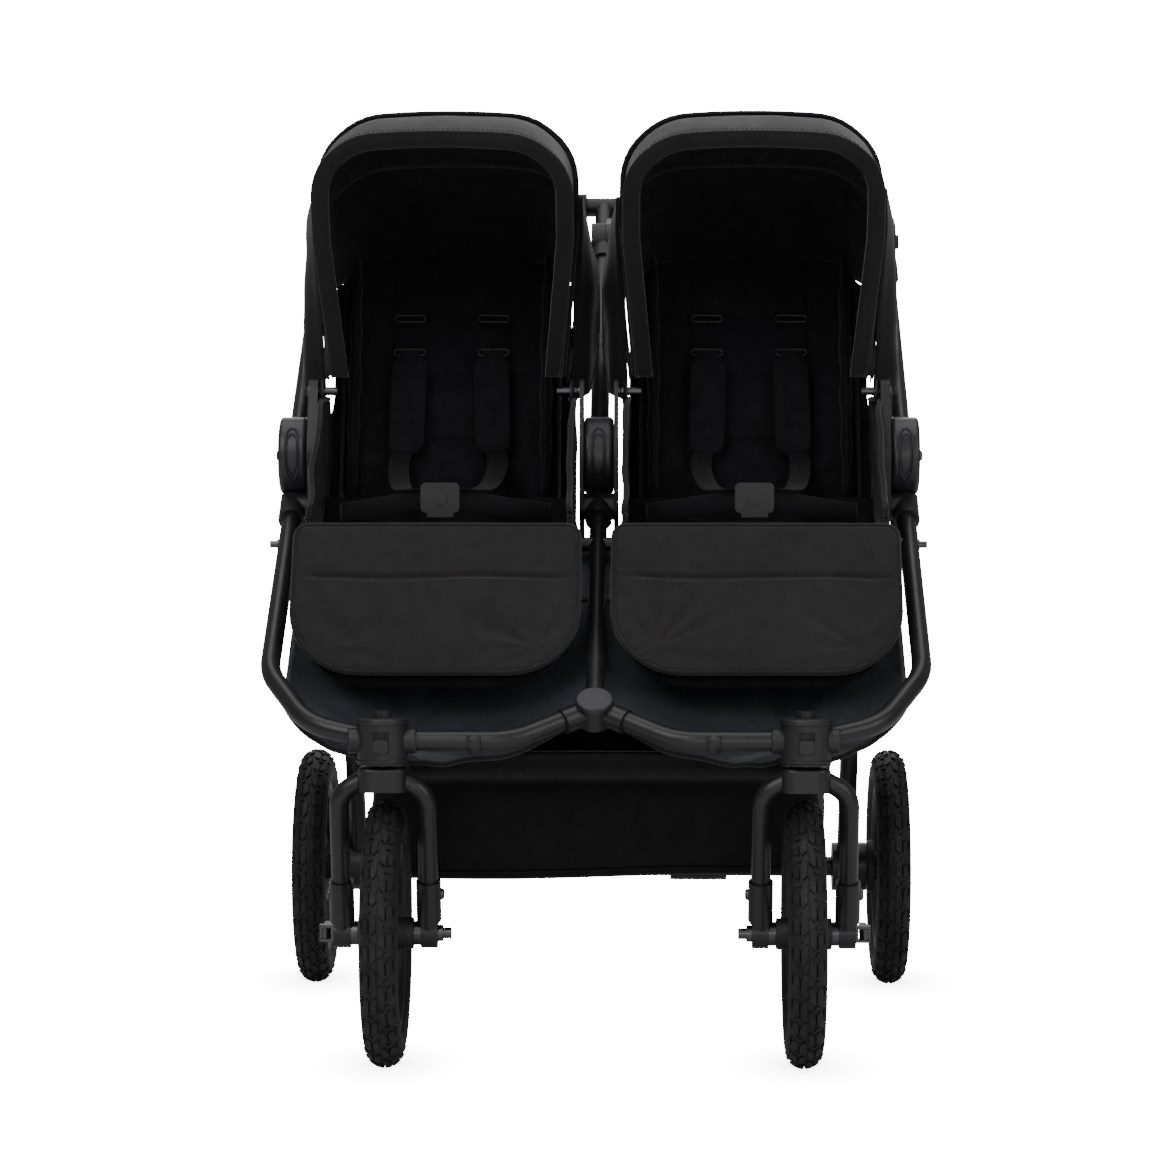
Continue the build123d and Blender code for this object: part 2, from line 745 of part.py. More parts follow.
# ---------------------------------------------------------------- rear legs, axle beam and brake
rear_legs = []
leg_rods = []
for side in (-1, 1):
    leg_route = [
        on_leg(side * leg_top_x, 4),
        on_leg(side * leg_top_x, leg_knee),
        on_leg(side * leg_foot_x, leg_ankle),
        on_leg(side * leg_foot_x, leg_run - 10),
    ]
    leg_rod = tube(leg_route, [leg_bend, leg_bend], tube_radius)
    leg_rods.append(leg_rod)
    with BuildPart() as leg:
        add(leg_rod)
        eye_ends = span(side, leg_top_x - tube_radius, leg_top_x + tube_radius)
        add(across(*eye_ends, leg_y, leg_height, leg_eye_radius))
        bore_ends = span(side, leg_top_x - 2 * tube_radius, leg_top_x + 2 * tube_radius)
        add(across(*bore_ends, leg_y, leg_height, hub_pin_radius + running), mode=Mode.SUBTRACT)
    rear_legs.append(leg.part)
save_group(rear_legs, "rear_legs")

brake_pin_z = wheel_radius - brake_circle
with BuildPart() as beam:
    add(across(-housing_inner - 4, housing_inner + 4, rear_axle_y, wheel_radius, beam_radius))
    for side in (-1, 1):
        add(across(*span(side, housing_inner, housing_outer), rear_axle_y, wheel_radius, housing_radius))
        axle_ends = span(side, housing_outer, rear_x + rear_hub_outer + 3.5)
        add(across(*axle_ends, rear_axle_y, wheel_radius, axle_radius))
    for side in (-1, 1):
        pin_way = span(side, housing_outer - brake_pin_length - 8, housing_outer + 1)
        add(across(*pin_way, rear_axle_y, brake_pin_z, brake_pin_radius + running), mode=Mode.SUBTRACT)
    for leg_rod in leg_rods:
        add(leg_rod, mode=Mode.SUBTRACT)
save(beam.part, "rear_axle_beam")
for side in (-1, 1):
    pin_ends = span(side, housing_outer - brake_pin_length - 1, housing_outer - 1)
    save(across(*pin_ends, rear_axle_y, brake_pin_z, brake_pin_radius), f"brake_pin_{side_name(side)}")

axle_caps = []
for side in (-1, 1):
    cap_from = rear_x + rear_hub_outer + gap
    cap_ends = span(side, cap_from, cap_from + 5)
    axle_caps.append(across(*cap_ends, rear_axle_y, wheel_radius, axle_radius + 5, axle_radius))
save_group(axle_caps, "axle_caps")

with BuildPart() as pedal:
    pedal_ends = (pedal_x - pedal_width / 2, pedal_x + pedal_width / 2)
    add(across(*pedal_ends, rear_axle_y, wheel_radius, beam_radius + 5))
    with BuildSketch(Plane.YZ.offset(pedal_x - pedal_width / 2)):
        with Locations((rear_axle_y + pedal_reach / 2, wheel_radius + 8)):
            RectangleRounded(pedal_reach, pedal_thickness, 4)
    extrude(amount=pedal_width)
    cut_ends = (pedal_x - pedal_width, pedal_x + pedal_width)
    add(across(*cut_ends, rear_axle_y, wheel_radius, beam_radius + running), mode=Mode.SUBTRACT)
save(pedal.part, "brake_pedal")

# ---------------------------------------------------------------- seat frame
seat_tubes = []
for side in (-1, 1):
    centre = side * seat_centre
    with BuildPart() as seat_frame:
        add(across(*span(side, 0, frame_tube_x), cross_y, cross_z, cross_tube_radius))
        for rod in frame_rods:
            add(rod, mode=Mode.SUBTRACT)
        for edge in (-1, 1):
            x = centre + edge * rail_spread
            add(tube([(x, cross_y, cross_z), (x, leg_rest_y, leg_rest_height)], 0, rail_radius))
        rod_ends = (centre - rail_spread, centre + rail_spread)
        add(across(*rod_ends, leg_rest_y, leg_rest_height, leg_rest_rod_radius))
    seat_tubes.append(seat_frame.part.solids().sort_by(SortBy.VOLUME)[-1])
    rod_span = span(side, centre_cover_half + gap, hub_cover_inner - gap)
    seat_tubes.append(across(*rod_span, recline_y, recline_height, recline_rod_radius))
save_group(seat_tubes, "seat_frame")

# ---------------------------------------------------------------- seats, backrests and leg rests
seat_bases = []
seat_sides = []
buckles = []
seat_front_y = leg_rest_y + 12
seat_back_y = hub_y
for side in (-1, 1):
    name = side_name(side)
    centre = side * seat_centre
    with BuildPart() as base:
        with BuildSketch(Plane.XY.offset(seat_bottom)):
            with Locations((centre, (seat_front_y + seat_back_y) / 2)):
                RectangleRounded(seat_width, seat_back_y - seat_front_y, 20)
        extrude(amount=seat_top - seat_bottom)
    seat_bases.append(base.part)

    for edge in (-1, 1):
        panel_x = rail_spread + 4
        low, high = sorted((centre + edge * panel_x, centre + edge * (panel_x + cloth)))
        with BuildPart() as side_panel:
            with BuildSketch(Plane.YZ.offset(low)):
                with BuildLine():
                    Polyline(
                        (seat_front_y + 6, seat_top + 2),
                        (seat_front_y + 80, seat_side_top - 45),
                        (hub_y - 10, seat_side_top),
                        (recline_y + 60, seat_side_top),
                        (recline_y + 24, seat_top + 2),
                        close=True,
                    )
                make_face()
            extrude(amount=high - low)
        seat_sides.append(side_panel.part)

    lean = radians(backrest_angle)
    half_board = board_thickness / 2
    recline_hinge = (recline_y, recline_height)
    board = (-half_board, half_board, board_corner)
    with BuildPart() as back_board:
        add(slab(centre, *recline_hinge, lean, backrest_width, 0, backrest_length, *board))
        add(across(centre - 110, centre + 110, recline_y, recline_height, recline_rod_radius + 4))
        bore = (centre - 150, centre + 150)
        add(across(*bore, recline_y, recline_height, recline_rod_radius + running), mode=Mode.SUBTRACT)
    save(back_board.part, f"backrest_board_{name}")
    pad = (half_board, half_board + backrest_pad, board_corner)
    pad_span = (backrest_pad_start, backrest_length - backrest_pad_start)
    back_pad = slab(centre, *recline_hinge, lean, backrest_width, *pad_span, *pad)
    save(back_pad, f"backrest_pad_{name}")

    # the leg rest hangs, so its board leans the other way round from straight down
    hang = radians(180 + leg_rest_angle)
    leg_hinge = (leg_rest_y, leg_rest_height)
    half_leg_board = leg_board_thickness / 2
    faces = (-half_leg_board, half_leg_board)
    board_span = (leg_rest_start, leg_rest_length - leg_rest_start - 2)
    with BuildPart() as leg_board:
        add(slab(centre, *leg_hinge, hang, leg_rest_width - 4, *board_span, *faces, leg_rest_bend - 2))
        add(slab(centre, *leg_hinge, hang, 2 * rail_spread - 30, 0, 20, *faces, 0))
        barrel = (centre - rail_spread + 15, centre + rail_spread - 15)
        add(across(*barrel, *leg_hinge, leg_rest_rod_radius + hinge_barrel_wall))
        bore = (centre - rail_spread, centre + rail_spread)
        add(across(*bore, leg_rest_y, leg_rest_height, leg_rest_rod_radius + running), mode=Mode.SUBTRACT)
    save(leg_board.part, f"leg_rest_board_{name}")
    front = (-half_leg_board - leg_rest_pad, -half_leg_board)
    pad_span = (leg_rest_start, leg_rest_length - leg_rest_start)
    leg_pad = slab(centre, *leg_hinge, hang, leg_rest_width, *pad_span, *front, leg_rest_bend)
    save(leg_pad, f"leg_rest_pad_{name}")

    buckle_z = seat_top + buckle_height / 2 + 5
    with BuildPart() as buckle:
        with BuildSketch(Plane.XZ.offset(-buckle_y)):
            with Locations((centre, buckle_z)):
                RectangleRounded(buckle_width, buckle_height, 6)
            with Locations((centre, seat_top + 4)):
                Rectangle(buckle_width - 14, 8)
        extrude(amount=buckle_depth)
        with BuildSketch(Plane.XZ.offset(-buckle_y + buckle_depth)):
            with Locations((centre, buckle_z)):
                Circle(buckle_button_radius + running)
        extrude(amount=-7, mode=Mode.SUBTRACT)
    buckles.append(buckle.part)
    with BuildPart() as button:
        with BuildSketch(Plane.XZ.offset(-buckle_y + buckle_depth - 4)):
            with Locations((centre, buckle_z)):
                Circle(buckle_button_radius)
        extrude(amount=6)
    save(button.part, f"buckle_button_{name}")
save_group(seat_bases, "seat_bases")
save_group(seat_sides, "seat_sides")
save_group(buckles, "harness_buckles")

# ---------------------------------------------------------------- canopies


def canopy_panel(centre, layer, rear_angle, arc):
    """A panel of the folding hood, turned about the canopy pivot; layer 0 is the outermost of the three."""
    inset = layer * canopy_step
    down = radians(rear_angle)
    plane = Plane(
        origin=(centre, canopy_y, canopy_height),
        x_dir=(1, 0, 0),
        z_dir=(0, -cos(down), -sin(down)),
    )
    with BuildPart() as panel:
        with BuildSketch(plane):
            for skin, foot in ((0.0, canopy_eye_radius - 4), (canopy_skin, 0.0)):
                half = canopy_half_width - inset - skin
                low = canopy_foot_half_width - inset - skin
                top = canopy_radius - inset - skin
                corner = canopy_corner - inset - skin
                rising = [(-low, foot), (-half, canopy_shoulder), (-half, top)]
                falling = [(half, top), (half, canopy_shoulder), (low, foot)]
                bends = [canopy_shoulder_bend, corner, corner, canopy_shoulder_bend]
                with BuildLine(mode=Mode.PRIVATE) as outline:
                    FilletPolyline(*rising, *falling, radius=bends)
                    Line((low, foot), (-low, foot))
                face = make_face(outline.line.edges(), mode=Mode.PRIVATE)
                add(face, mode=Mode.SUBTRACT if skin else Mode.ADD)
        revolve(axis=Axis(plane.origin, (1, 0, 0)), revolution_arc=arc)
        for edge in (-1, 1):
            foot_x = centre + edge * (canopy_foot_half_width - inset)
            foot_ends = sorted((foot_x, foot_x - edge * canopy_skin))
            add(across(*foot_ends, canopy_y, canopy_height, canopy_eye_radius))
        bore = canopy_pin_radius + (running if layer else 0.0)
        bore_ends = (centre - canopy_half_width, centre + canopy_half_width)
        add(across(*bore_ends, canopy_y, canopy_height, bore), mode=Mode.SUBTRACT)
    return panel.part


rear_panels = []
for side in (-1, 1):
    name = side_name(side)
    centre = side * seat_centre
    front_start = canopy_front_angle - canopy_panel_angle
    save(canopy_panel(centre, 2, front_start, canopy_panel_angle), f"canopy_front_{name}")
    mid_start = front_start - canopy_panel_angle + canopy_panel_lap
    save(canopy_panel(centre, 1, mid_start, canopy_panel_angle), f"canopy_middle_{name}")
    rear_start = mid_start - canopy_panel_angle + canopy_panel_lap
    rear_panels.append(canopy_panel(centre, 0, rear_start, canopy_panel_angle))
save_group(rear_panels, "canopy_rears")

# ---------------------------------------------------------------- footwell and basket
footwell_drop = atan2(footwell_high - footwell_low, footwell_back - footwell_front)
wells = []
for side in (-1, 1):
    well_plane = Plane(
        origin=(0, front_axle_y + footwell_front, footwell_low),
        x_dir=(1, 0, 0),
        z_dir=(0, -sin(footwell_drop), cos(footwell_drop)),
    )
    deep = hypot(footwell_high - footwell_low, footwell_back - footwell_front)
    with BuildPart() as well:
        with BuildSketch(well_plane):
            with BuildLine():
                Polyline(
                    (side * footwell_centre_x, 0),
                    (side * (front_x - 6), 0),
                    (side * (footwell_half_width - 43), 26),
                    (side * footwell_half_width, 92),
                    (side * footwell_half_width, deep),
                    (side * footwell_centre_x, deep),
                    close=True,
                )
            make_face()
        extrude(amount=cloth)
    wells.append(well.part)
save_group(wells, "footwell")

with BuildPart() as basket:
    with BuildSketch(Plane.YZ.offset(-basket_half_width)):
        with BuildLine():
            Polyline(
                (basket_front_y, basket_bottom),
                (basket_rear_y, basket_bottom),
                (basket_rear_y, basket_top),
                (basket_lip_y, basket_top),
                (basket_lip_y, basket_lip_height),
                (basket_front_y, basket_lip_height),
                close=True,
            )
        make_face()
    extrude(amount=2 * basket_half_width)
    openings = basket.faces().sort_by(Axis.Z)[-1]
    offset(amount=-cloth, openings=openings)
save(basket.part, "basket")

rail_x = basket_half_width - 6
rail_z = basket_top + rail_gap + rail_radius
basket_rail_points = [
    (-front_x + 4, steer_y + head_radius - 6, rail_z),
    (-rail_x, basket_front_y, rail_z),
    (-rail_x, basket_rear_y, rail_z),
    (rail_x, basket_rear_y, rail_z),
    (rail_x, basket_front_y, rail_z),
    (front_x - 4, steer_y + head_radius - 6, rail_z),
]
with BuildPart() as basket_rail:
    add(tube(basket_rail_points, [60, 45, 45, 60], rail_radius))
    for head_part in heads:
        add(head_part, mode=Mode.SUBTRACT)
save(basket_rail.part.solids().sort_by(SortBy.VOLUME)[-1], "basket_rail")
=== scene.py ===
import bpy
import bmesh
import json
import math
import random
from mathutils import Vector, Matrix, noise


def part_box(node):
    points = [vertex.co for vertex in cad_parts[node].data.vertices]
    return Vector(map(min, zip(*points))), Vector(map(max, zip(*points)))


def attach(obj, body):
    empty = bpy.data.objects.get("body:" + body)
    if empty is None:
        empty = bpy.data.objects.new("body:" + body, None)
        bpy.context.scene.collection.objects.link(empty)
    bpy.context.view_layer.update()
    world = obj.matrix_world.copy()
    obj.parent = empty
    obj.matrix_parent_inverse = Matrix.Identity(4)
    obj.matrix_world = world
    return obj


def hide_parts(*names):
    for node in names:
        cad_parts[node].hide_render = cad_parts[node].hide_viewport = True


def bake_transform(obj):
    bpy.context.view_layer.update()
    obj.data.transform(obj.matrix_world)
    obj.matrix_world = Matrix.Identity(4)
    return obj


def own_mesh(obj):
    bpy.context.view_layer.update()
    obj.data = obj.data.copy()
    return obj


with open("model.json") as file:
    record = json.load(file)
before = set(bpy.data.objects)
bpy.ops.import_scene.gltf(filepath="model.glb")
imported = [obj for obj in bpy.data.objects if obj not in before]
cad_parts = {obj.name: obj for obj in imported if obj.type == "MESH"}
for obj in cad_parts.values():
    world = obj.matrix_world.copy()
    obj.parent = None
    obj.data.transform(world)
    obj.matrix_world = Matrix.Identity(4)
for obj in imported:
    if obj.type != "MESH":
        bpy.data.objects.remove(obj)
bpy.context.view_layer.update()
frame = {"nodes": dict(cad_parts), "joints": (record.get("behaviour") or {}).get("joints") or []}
random.seed(11)

# where things are, read from the frame in metres
seatSides = (("left", -1), ("right", 1))


def jointPlace(jointName):
    for joint in frame["joints"]:
        if joint["name"] == jointName:
            return Vector(joint["pos_m"])
    return Vector((0, 0, 0))


hubPlace = jointPlace("fold")
canopyPlace = jointPlace("canopy_left")
backHinge = jointPlace("recline_left")
legHinge = jointPlace("leg_rest_raise_left")
frontAxle = jointPlace("front_wheel_spin_right")
rearAxle = jointPlace("rear_wheel_spin_right")
steerPlace = jointPlace("swivel_right")
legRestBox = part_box("leg_rest_pad_right")
seatX = (legRestBox[0][0] + legRestBox[1][0]) / 2

print("stage: camera and light")
cameraSettings = {
    "lens": 116.4,
    "sensor": 36.0,
    "place": (0.061, frontAxle.y - 4.041, 0.699),
    "pitch": 87.59,
    "turn": 1.09,
}
cameraData = bpy.data.cameras.new("shotCamera")
cameraData.lens = cameraSettings["lens"]
cameraData.sensor_width = cameraSettings["sensor"]
cameraData.clip_end = 60
# the picture's middle is not shifted from the line of sight
cameraData.shift_x = 0.0
cameraObject = bpy.data.objects.new("shotCamera", cameraData)
cameraObject.location = cameraSettings["place"]
cameraObject.rotation_euler = (math.radians(cameraSettings["pitch"]), 0, math.radians(cameraSettings["turn"]))
bpy.context.collection.objects.link(cameraObject)
bpy.context.scene.camera = cameraObject

lightSettings = {
    "key": {"place": (-1.6, -3.2, 3.2), "size": 2.6, "power": 62},
    "fill": {"place": (2.4, -2.6, 1.9), "size": 2.4, "power": 30},
    "front": {"place": (0.2, -4.6, 1.1), "size": 1.6, "power": 14},
    "top": {"place": (0.0, 0.2, 3.4), "size": 3.0, "power": 40},
    "rear": {"place": (0.0, 3.4, 2.2), "size": 2.4, "power": 26},
}
for lightName, spec in lightSettings.items():
    lightData = bpy.data.lights.new(lightName + "Light", "AREA")
    lightData.size = spec["size"]
    lightData.energy = spec["power"]
    lightObject = bpy.data.objects.new(lightName + "Light", lightData)
    lightObject.location = spec["place"]
    lightObject.rotation_euler = (Vector((0, 0, 0.5)) - Vector(spec["place"])).to_track_quat("-Z", "Y").to_euler()
    bpy.context.collection.objects.link(lightObject)

# the backdrop is white to the eye, and gives the dark cloth only a little light
studio = {"seen": 22.0, "given": 0.20}
world = bpy.data.worlds.new("studio")
bpy.context.scene.world = world
world.use_nodes = True
worldTree = world.node_tree
seenSky = worldTree.nodes["Background"]
seenSky.inputs["Color"].default_value = (1.0, 1.0, 1.0, 1)
seenSky.inputs["Strength"].default_value = studio["seen"]
givenSky = worldTree.nodes.new("ShaderNodeBackground")
givenSky.inputs["Color"].default_value = (1.0, 1.0, 1.0, 1)
givenSky.inputs["Strength"].default_value = studio["given"]
skyChoice = worldTree.nodes.new("ShaderNodeMixShader")
skyPath = worldTree.nodes.new("ShaderNodeLightPath")
worldTree.links.new(skyPath.outputs["Is Camera Ray"], skyChoice.inputs["Fac"])
worldTree.links.new(givenSky.outputs["Background"], skyChoice.inputs[1])
worldTree.links.new(seenSky.outputs["Background"], skyChoice.inputs[2])
worldTree.links.new(skyChoice.outputs["Shader"], worldTree.nodes["World Output"].inputs["Surface"])


# ---- small mesh makers
def meshPiece(pieceName, points, faces, material=None, smooth=True):
    mesh = bpy.data.meshes.new(pieceName)
    mesh.from_pydata([tuple(point) for point in points], [], faces)
    mesh.update()
    piece = bpy.data.objects.new(pieceName, mesh)
    bpy.context.collection.objects.link(piece)
    if smooth:
        mesh.polygons.foreach_set("use_smooth", [True] * len(mesh.polygons))
    if material:
        mesh.materials.append(material)
    return piece


def faceOutwards(piece):
    work = bmesh.new()
    work.from_mesh(piece.data)
    bmesh.ops.remove_doubles(work, verts=work.verts, dist=1e-5)
    bmesh.ops.recalc_face_normals(work, faces=work.faces)
    work.to_mesh(piece.data)
    work.free()
    return piece


def gridFaces(rows, columns, wrapRows=False, wrapColumns=False):
    faces = []
    for row in range(rows if wrapRows else rows - 1):
        for column in range(columns if wrapColumns else columns - 1):
            nextRow = (row + 1) % rows
            nextColumn = (column + 1) % columns
            faces.append((row * columns + column, row * columns + nextColumn,
                          nextRow * columns + nextColumn, nextRow * columns + column))
    return faces


def ringTube(pieceName, path, radius, material, sides=10, closed=False, flat=1.0, upHint=(0, 0, 1)):
    points = [Vector(point) for point in path]
    count = len(points)
    rings = []
    for index, point in enumerate(points):
        before = points[index - 1] if index or closed else point
        after = points[(index + 1) % count] if index < count - 1 or closed else point
        along = (after - before).normalized()
        aside = along.cross(Vector(upHint))
        if aside.length < 1e-4:
            aside = along.cross(Vector((1, 0, 0)))
        aside.normalize()
        upward = aside.cross(along).normalized()
        size = radius(index / max(1, count - 1)) if callable(radius) else radius
        for side in range(sides):
            turn = 2 * math.pi * side / sides
            rings.append(point + aside * math.cos(turn) * size + upward * math.sin(turn) * size * flat)
    faces = gridFaces(count, sides, wrapRows=closed, wrapColumns=True)
    if not closed:
        faces.append(tuple(range(sides - 1, -1, -1)))
        faces.append(tuple(range((count - 1) * sides, count * sides)))
    return faceOutwards(meshPiece(pieceName, rings, faces, material))


def joinPieces(pieceName, pieces):
    work = bmesh.new()
    materials = []
    for piece in pieces:
        firstFace = len(work.faces)
        work.from_mesh(piece.data)
        work.faces.ensure_lookup_table()
        for material in piece.data.materials:
            if material not in materials:
                materials.append(material)
        for face in work.faces[firstFace:]:
            material = piece.data.materials[face.material_index] if piece.data.materials else None
            face.material_index = materials.index(material) if material else 0
    mesh = bpy.data.meshes.new(pieceName)
    work.to_mesh(mesh)
    work.free()
    for material in materials:
        mesh.materials.append(material)
    for piece in pieces:
        oldMesh = piece.data
        bpy.data.objects.remove(piece)
        bpy.data.meshes.remove(oldMesh)
    joined = bpy.data.objects.new(pieceName, mesh)
    bpy.context.collection.objects.link(joined)
    return joined


def applyModifiers(piece):
    evaluated = piece.evaluated_get(bpy.context.evaluated_depsgraph_get())
    mesh = bpy.data.meshes.new_from_object(evaluated)
    oldMesh = piece.data
    piece.modifiers.clear()
    piece.data = mesh
    mesh.name = piece.name
    bpy.data.meshes.remove(oldMesh)
    return piece


def thicken(piece, thickness, offset=0.0):
    solid = piece.modifiers.new("wall", "SOLIDIFY")
    solid.thickness = thickness
    solid.offset = offset
    return applyModifiers(piece)


def smoothStep(low, high, value):
    t = min(1.0, max(0.0, (value - low) / (high - low)))
    return t * t * (3 - 2 * t)


def declareSheet(piece, width, length):
    # the cut's area is the cloth's own, which is half of what both faces measure
    cutArea = sum(polygon.area for polygon in piece.data.polygons) / 2
    print("sheet", piece.name, round(cutArea, 4), round(cutArea / (width * length), 3))


def smoothShade(piece):
    piece.data.polygons.foreach_set("use_smooth", [True] * len(piece.data.polygons))


def assign(piece, bodyName, nodeName=None):
    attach(piece, bodyName)
    if nodeName:
        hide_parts(nodeName)


print("stage: materials")


def startMaterial(materialName):
    material = bpy.data.materials.new(materialName)
    material.use_nodes = True
    tree = material.node_tree
    shader = tree.nodes["Principled BSDF"]
    return material, tree, shader


def objectNoise(tree, scale, detail=4.0, stretch=None, rough=0.5):
    place = tree.nodes.new("ShaderNodeTexCoord")
    source = place.outputs["Object"]
    if stretch:
        mapping = tree.nodes.new("ShaderNodeMapping")
        mapping.inputs["Scale"].default_value = stretch
        tree.links.new(source, mapping.inputs["Vector"])
        source = mapping.outputs["Vector"]
    pattern = tree.nodes.new("ShaderNodeTexNoise")
    pattern.inputs["Scale"].default_value = scale
    pattern.inputs["Detail"].default_value = detail
    pattern.inputs["Roughness"].default_value = rough
    tree.links.new(source, pattern.inputs["Vector"])
    return pattern.outputs["Fac"], source


def ramp(tree, source, low, high, fromAt=0.3, toAt=0.7):
    node = tree.nodes.new("ShaderNodeValToRGB")
    node.color_ramp.elements[0].position = fromAt
    node.color_ramp.elements[1].position = toAt
    node.color_ramp.elements[0].color = low if len(low) == 4 else (*low, 1)
    node.color_ramp.elements[1].color = high if len(high) == 4 else (*high, 1)
    tree.links.new(source, node.inputs["Fac"])
    return node.outputs["Color"]


def bumpFrom(tree, shader, height, strength, distance, under=None):
    bump = tree.nodes.new("ShaderNodeBump")
    bump.inputs["Strength"].default_value = strength
    bump.inputs["Distance"].default_value = distance
    tree.links.new(height, bump.inputs["Height"])
    if under:
        tree.links.new(under, bump.inputs["Normal"])
    tree.links.new(bump.outputs["Normal"], shader.inputs["Normal"])
    return bump.outputs["Normal"]


def weaveHeight(tree, pitch, twill=0.0):
    place = tree.nodes.new("ShaderNodeTexCoord")
    split = tree.nodes.new("ShaderNodeSeparateXYZ")
    tree.links.new(place.outputs["Object"], split.inputs["Vector"])
    waves = []
    # threads run along X and down the cloth, so one wave reads X and the other reads Y and Z together
    downSum = tree.nodes.new("ShaderNodeMath")
    downSum.operation = "ADD"
    tree.links.new(split.outputs["Y"], downSum.inputs[0])
    tree.links.new(split.outputs["Z"], downSum.inputs[1])
    for source in (split.outputs["X"], downSum.outputs[0]):
        scaled = tree.nodes.new("ShaderNodeMath")
        scaled.operation = "MULTIPLY"
        scaled.inputs[1].default_value = 2 * math.pi / pitch
        tree.links.new(source, scaled.inputs[0])
        waves.append(scaled.outputs[0])
    if twill:
        shifted = tree.nodes.new("ShaderNodeMath")
        shifted.operation = "MULTIPLY_ADD"
        shifted.inputs[1].default_value = twill
        tree.links.new(waves[1], shifted.inputs[0])
        tree.links.new(waves[0], shifted.inputs[2])
        waves[0] = shifted.outputs[0]
    sines = []
    for wave in waves:
        sine = tree.nodes.new("ShaderNodeMath")
        sine.operation = "SINE"
        tree.links.new(wave, sine.inputs[0])
        sines.append(sine.outputs[0])
    product = tree.nodes.new("ShaderNodeMath")
    product.operation = "MULTIPLY"
    tree.links.new(sines[0], product.inputs[0])
    tree.links.new(sines[1], product.inputs[1])
    return product.outputs[0]


def fabricMaterial(materialName, dark, light, pitch=0.0016, roughness=(0.72, 0.88), sheen=0.25, creases=0.25,
                   twill=0.0, crumple=18.0, shine=0.2):
    material, tree, shader = startMaterial(materialName)
    blotch, _ = objectNoise(tree, 9.0, 5.0)
    tree.links.new(ramp(tree, blotch, dark, light), shader.inputs["Base Color"])
    grey, _ = objectNoise(tree, 60.0, 3.0)
    low, high = roughness
    tree.links.new(ramp(tree, grey, (low,) * 3, (high,) * 3), shader.inputs["Roughness"])
    shader.inputs["Specular IOR Level"].default_value = shine
    shader.inputs["Sheen Weight"].default_value = sheen
    shader.inputs["Sheen Roughness"].default_value = 0.45
    folds, _ = objectNoise(tree, crumple, 3.0, rough=0.45)
    under = bumpFrom(tree, shader, folds, creases, 0.006)
    bumpFrom(tree, shader, weaveHeight(tree, pitch, twill), 0.22, 0.0004, under)
    return material


def metalMaterial(materialName, colour, roughness, speck=420.0, metallic=0.0, coat=0.0):
    material, tree, shader = startMaterial(materialName)
    wear, _ = objectNoise(tree, 22.0, 6.0)
    lighter = tuple(min(1, channel * 1.35 + 0.002) for channel in colour)
    tree.links.new(ramp(tree, wear, colour, lighter, 0.35, 0.75), shader.inputs["Base Color"])
    shader.inputs["Metallic"].default_value = metallic
    shader.inputs["Coat Weight"].default_value = coat
    grain, _ = objectNoise(tree, speck, 2.0)
    low, high = roughness
    tree.links.new(ramp(tree, grain, (low,) * 3, (high,) * 3), shader.inputs["Roughness"])
    bumpFrom(tree, shader, grain, 0.12, 0.0003)
    return material


def rubberMaterial(materialName, colour, dust):
    material, tree, shader = startMaterial(materialName)
    dusty, _ = objectNoise(tree, 38.0, 7.0)
    tree.links.new(ramp(tree, dusty, colour, dust, 0.42, 0.78), shader.inputs["Base Color"])
    grain, _ = objectNoise(tree, 240.0, 3.0)
    tree.links.new(ramp(tree, grain, (0.5,) * 3, (0.74,) * 3), shader.inputs["Roughness"])
    shader.inputs["Specular IOR Level"].default_value = 0.36
    bumpFrom(tree, shader, grain, 0.18, 0.0004)
    return material


frameMetal = metalMaterial("satinTube", (0.012, 0.012, 0.012), (0.27, 0.4))
moulding = metalMaterial("grainedMoulding", (0.014, 0.014, 0.0155), (0.36, 0.52), 900.0)
hubPlastic = metalMaterial("hubMoulding", (0.022, 0.022, 0.025), (0.26, 0.4), 1200.0)
darkSteel = metalMaterial("blackenedSteel", (0.10, 0.10, 0.105), (0.24, 0.38), 500.0, metallic=1.0)
bareSteel = metalMaterial("zincSteel", (0.42, 0.42, 0.43), (0.22, 0.34), 500.0, metallic=1.0)
gripFoam = rubberMaterial("gripFoam", (0.016, 0.016, 0.016), (0.022, 0.022, 0.022))
tyreRubber = rubberMaterial("tyreRubber", (0.011, 0.011, 0.0116), (0.026, 0.026, 0.027))
canopyCloth = fabricMaterial("canopyCloth", (0.008, 0.008, 0.0085), (0.012, 0.012, 0.0125), creases=0.3)
# the lining's near-black colour is painted shade, as dark as the shaded inside of the hood
liningCloth = fabricMaterial("liningCloth", (0.0022, 0.0022, 0.0026), (0.0038, 0.0038, 0.0046), sheen=0.05,
                             creases=0.35)
seatCloth = fabricMaterial("seatCloth", (0.0032, 0.0032, 0.0044), (0.0056, 0.0055, 0.0074), pitch=0.002,
                           sheen=0.07, creases=0.5)
padCloth = fabricMaterial("padCloth", (0.0140, 0.0126, 0.0136), (0.0190, 0.0172, 0.0182), pitch=0.0014, twill=1.0,
                          creases=0.3, roughness=(0.6, 0.75))
pipingCloth = fabricMaterial("pipingCloth", (0.012, 0.012, 0.012), (0.017, 0.017, 0.017), pitch=0.001, creases=0.05)
wellCloth = fabricMaterial("wellCloth", (0.022, 0.0245, 0.032), (0.036, 0.0395, 0.052), pitch=0.0012,
                           roughness=(0.3, 0.46), sheen=0.1, creases=0.5, shine=0.6)
basketCloth = fabricMaterial("basketCloth", (0.0032, 0.0032, 0.0034), (0.0052, 0.0052, 0.0055), sheen=0.06,
                             roughness=(0.46, 0.62), creases=0.6, crumple=12.0)
webbing = fabricMaterial("webbing", (0.005, 0.005, 0.006), (0.008, 0.008, 0.0098), pitch=0.0026, sheen=0.08,
                         creases=0.05)
boardPlastic = metalMaterial("stiffenerBoard", (0.012, 0.012, 0.012), (0.5, 0.7), 300.0)

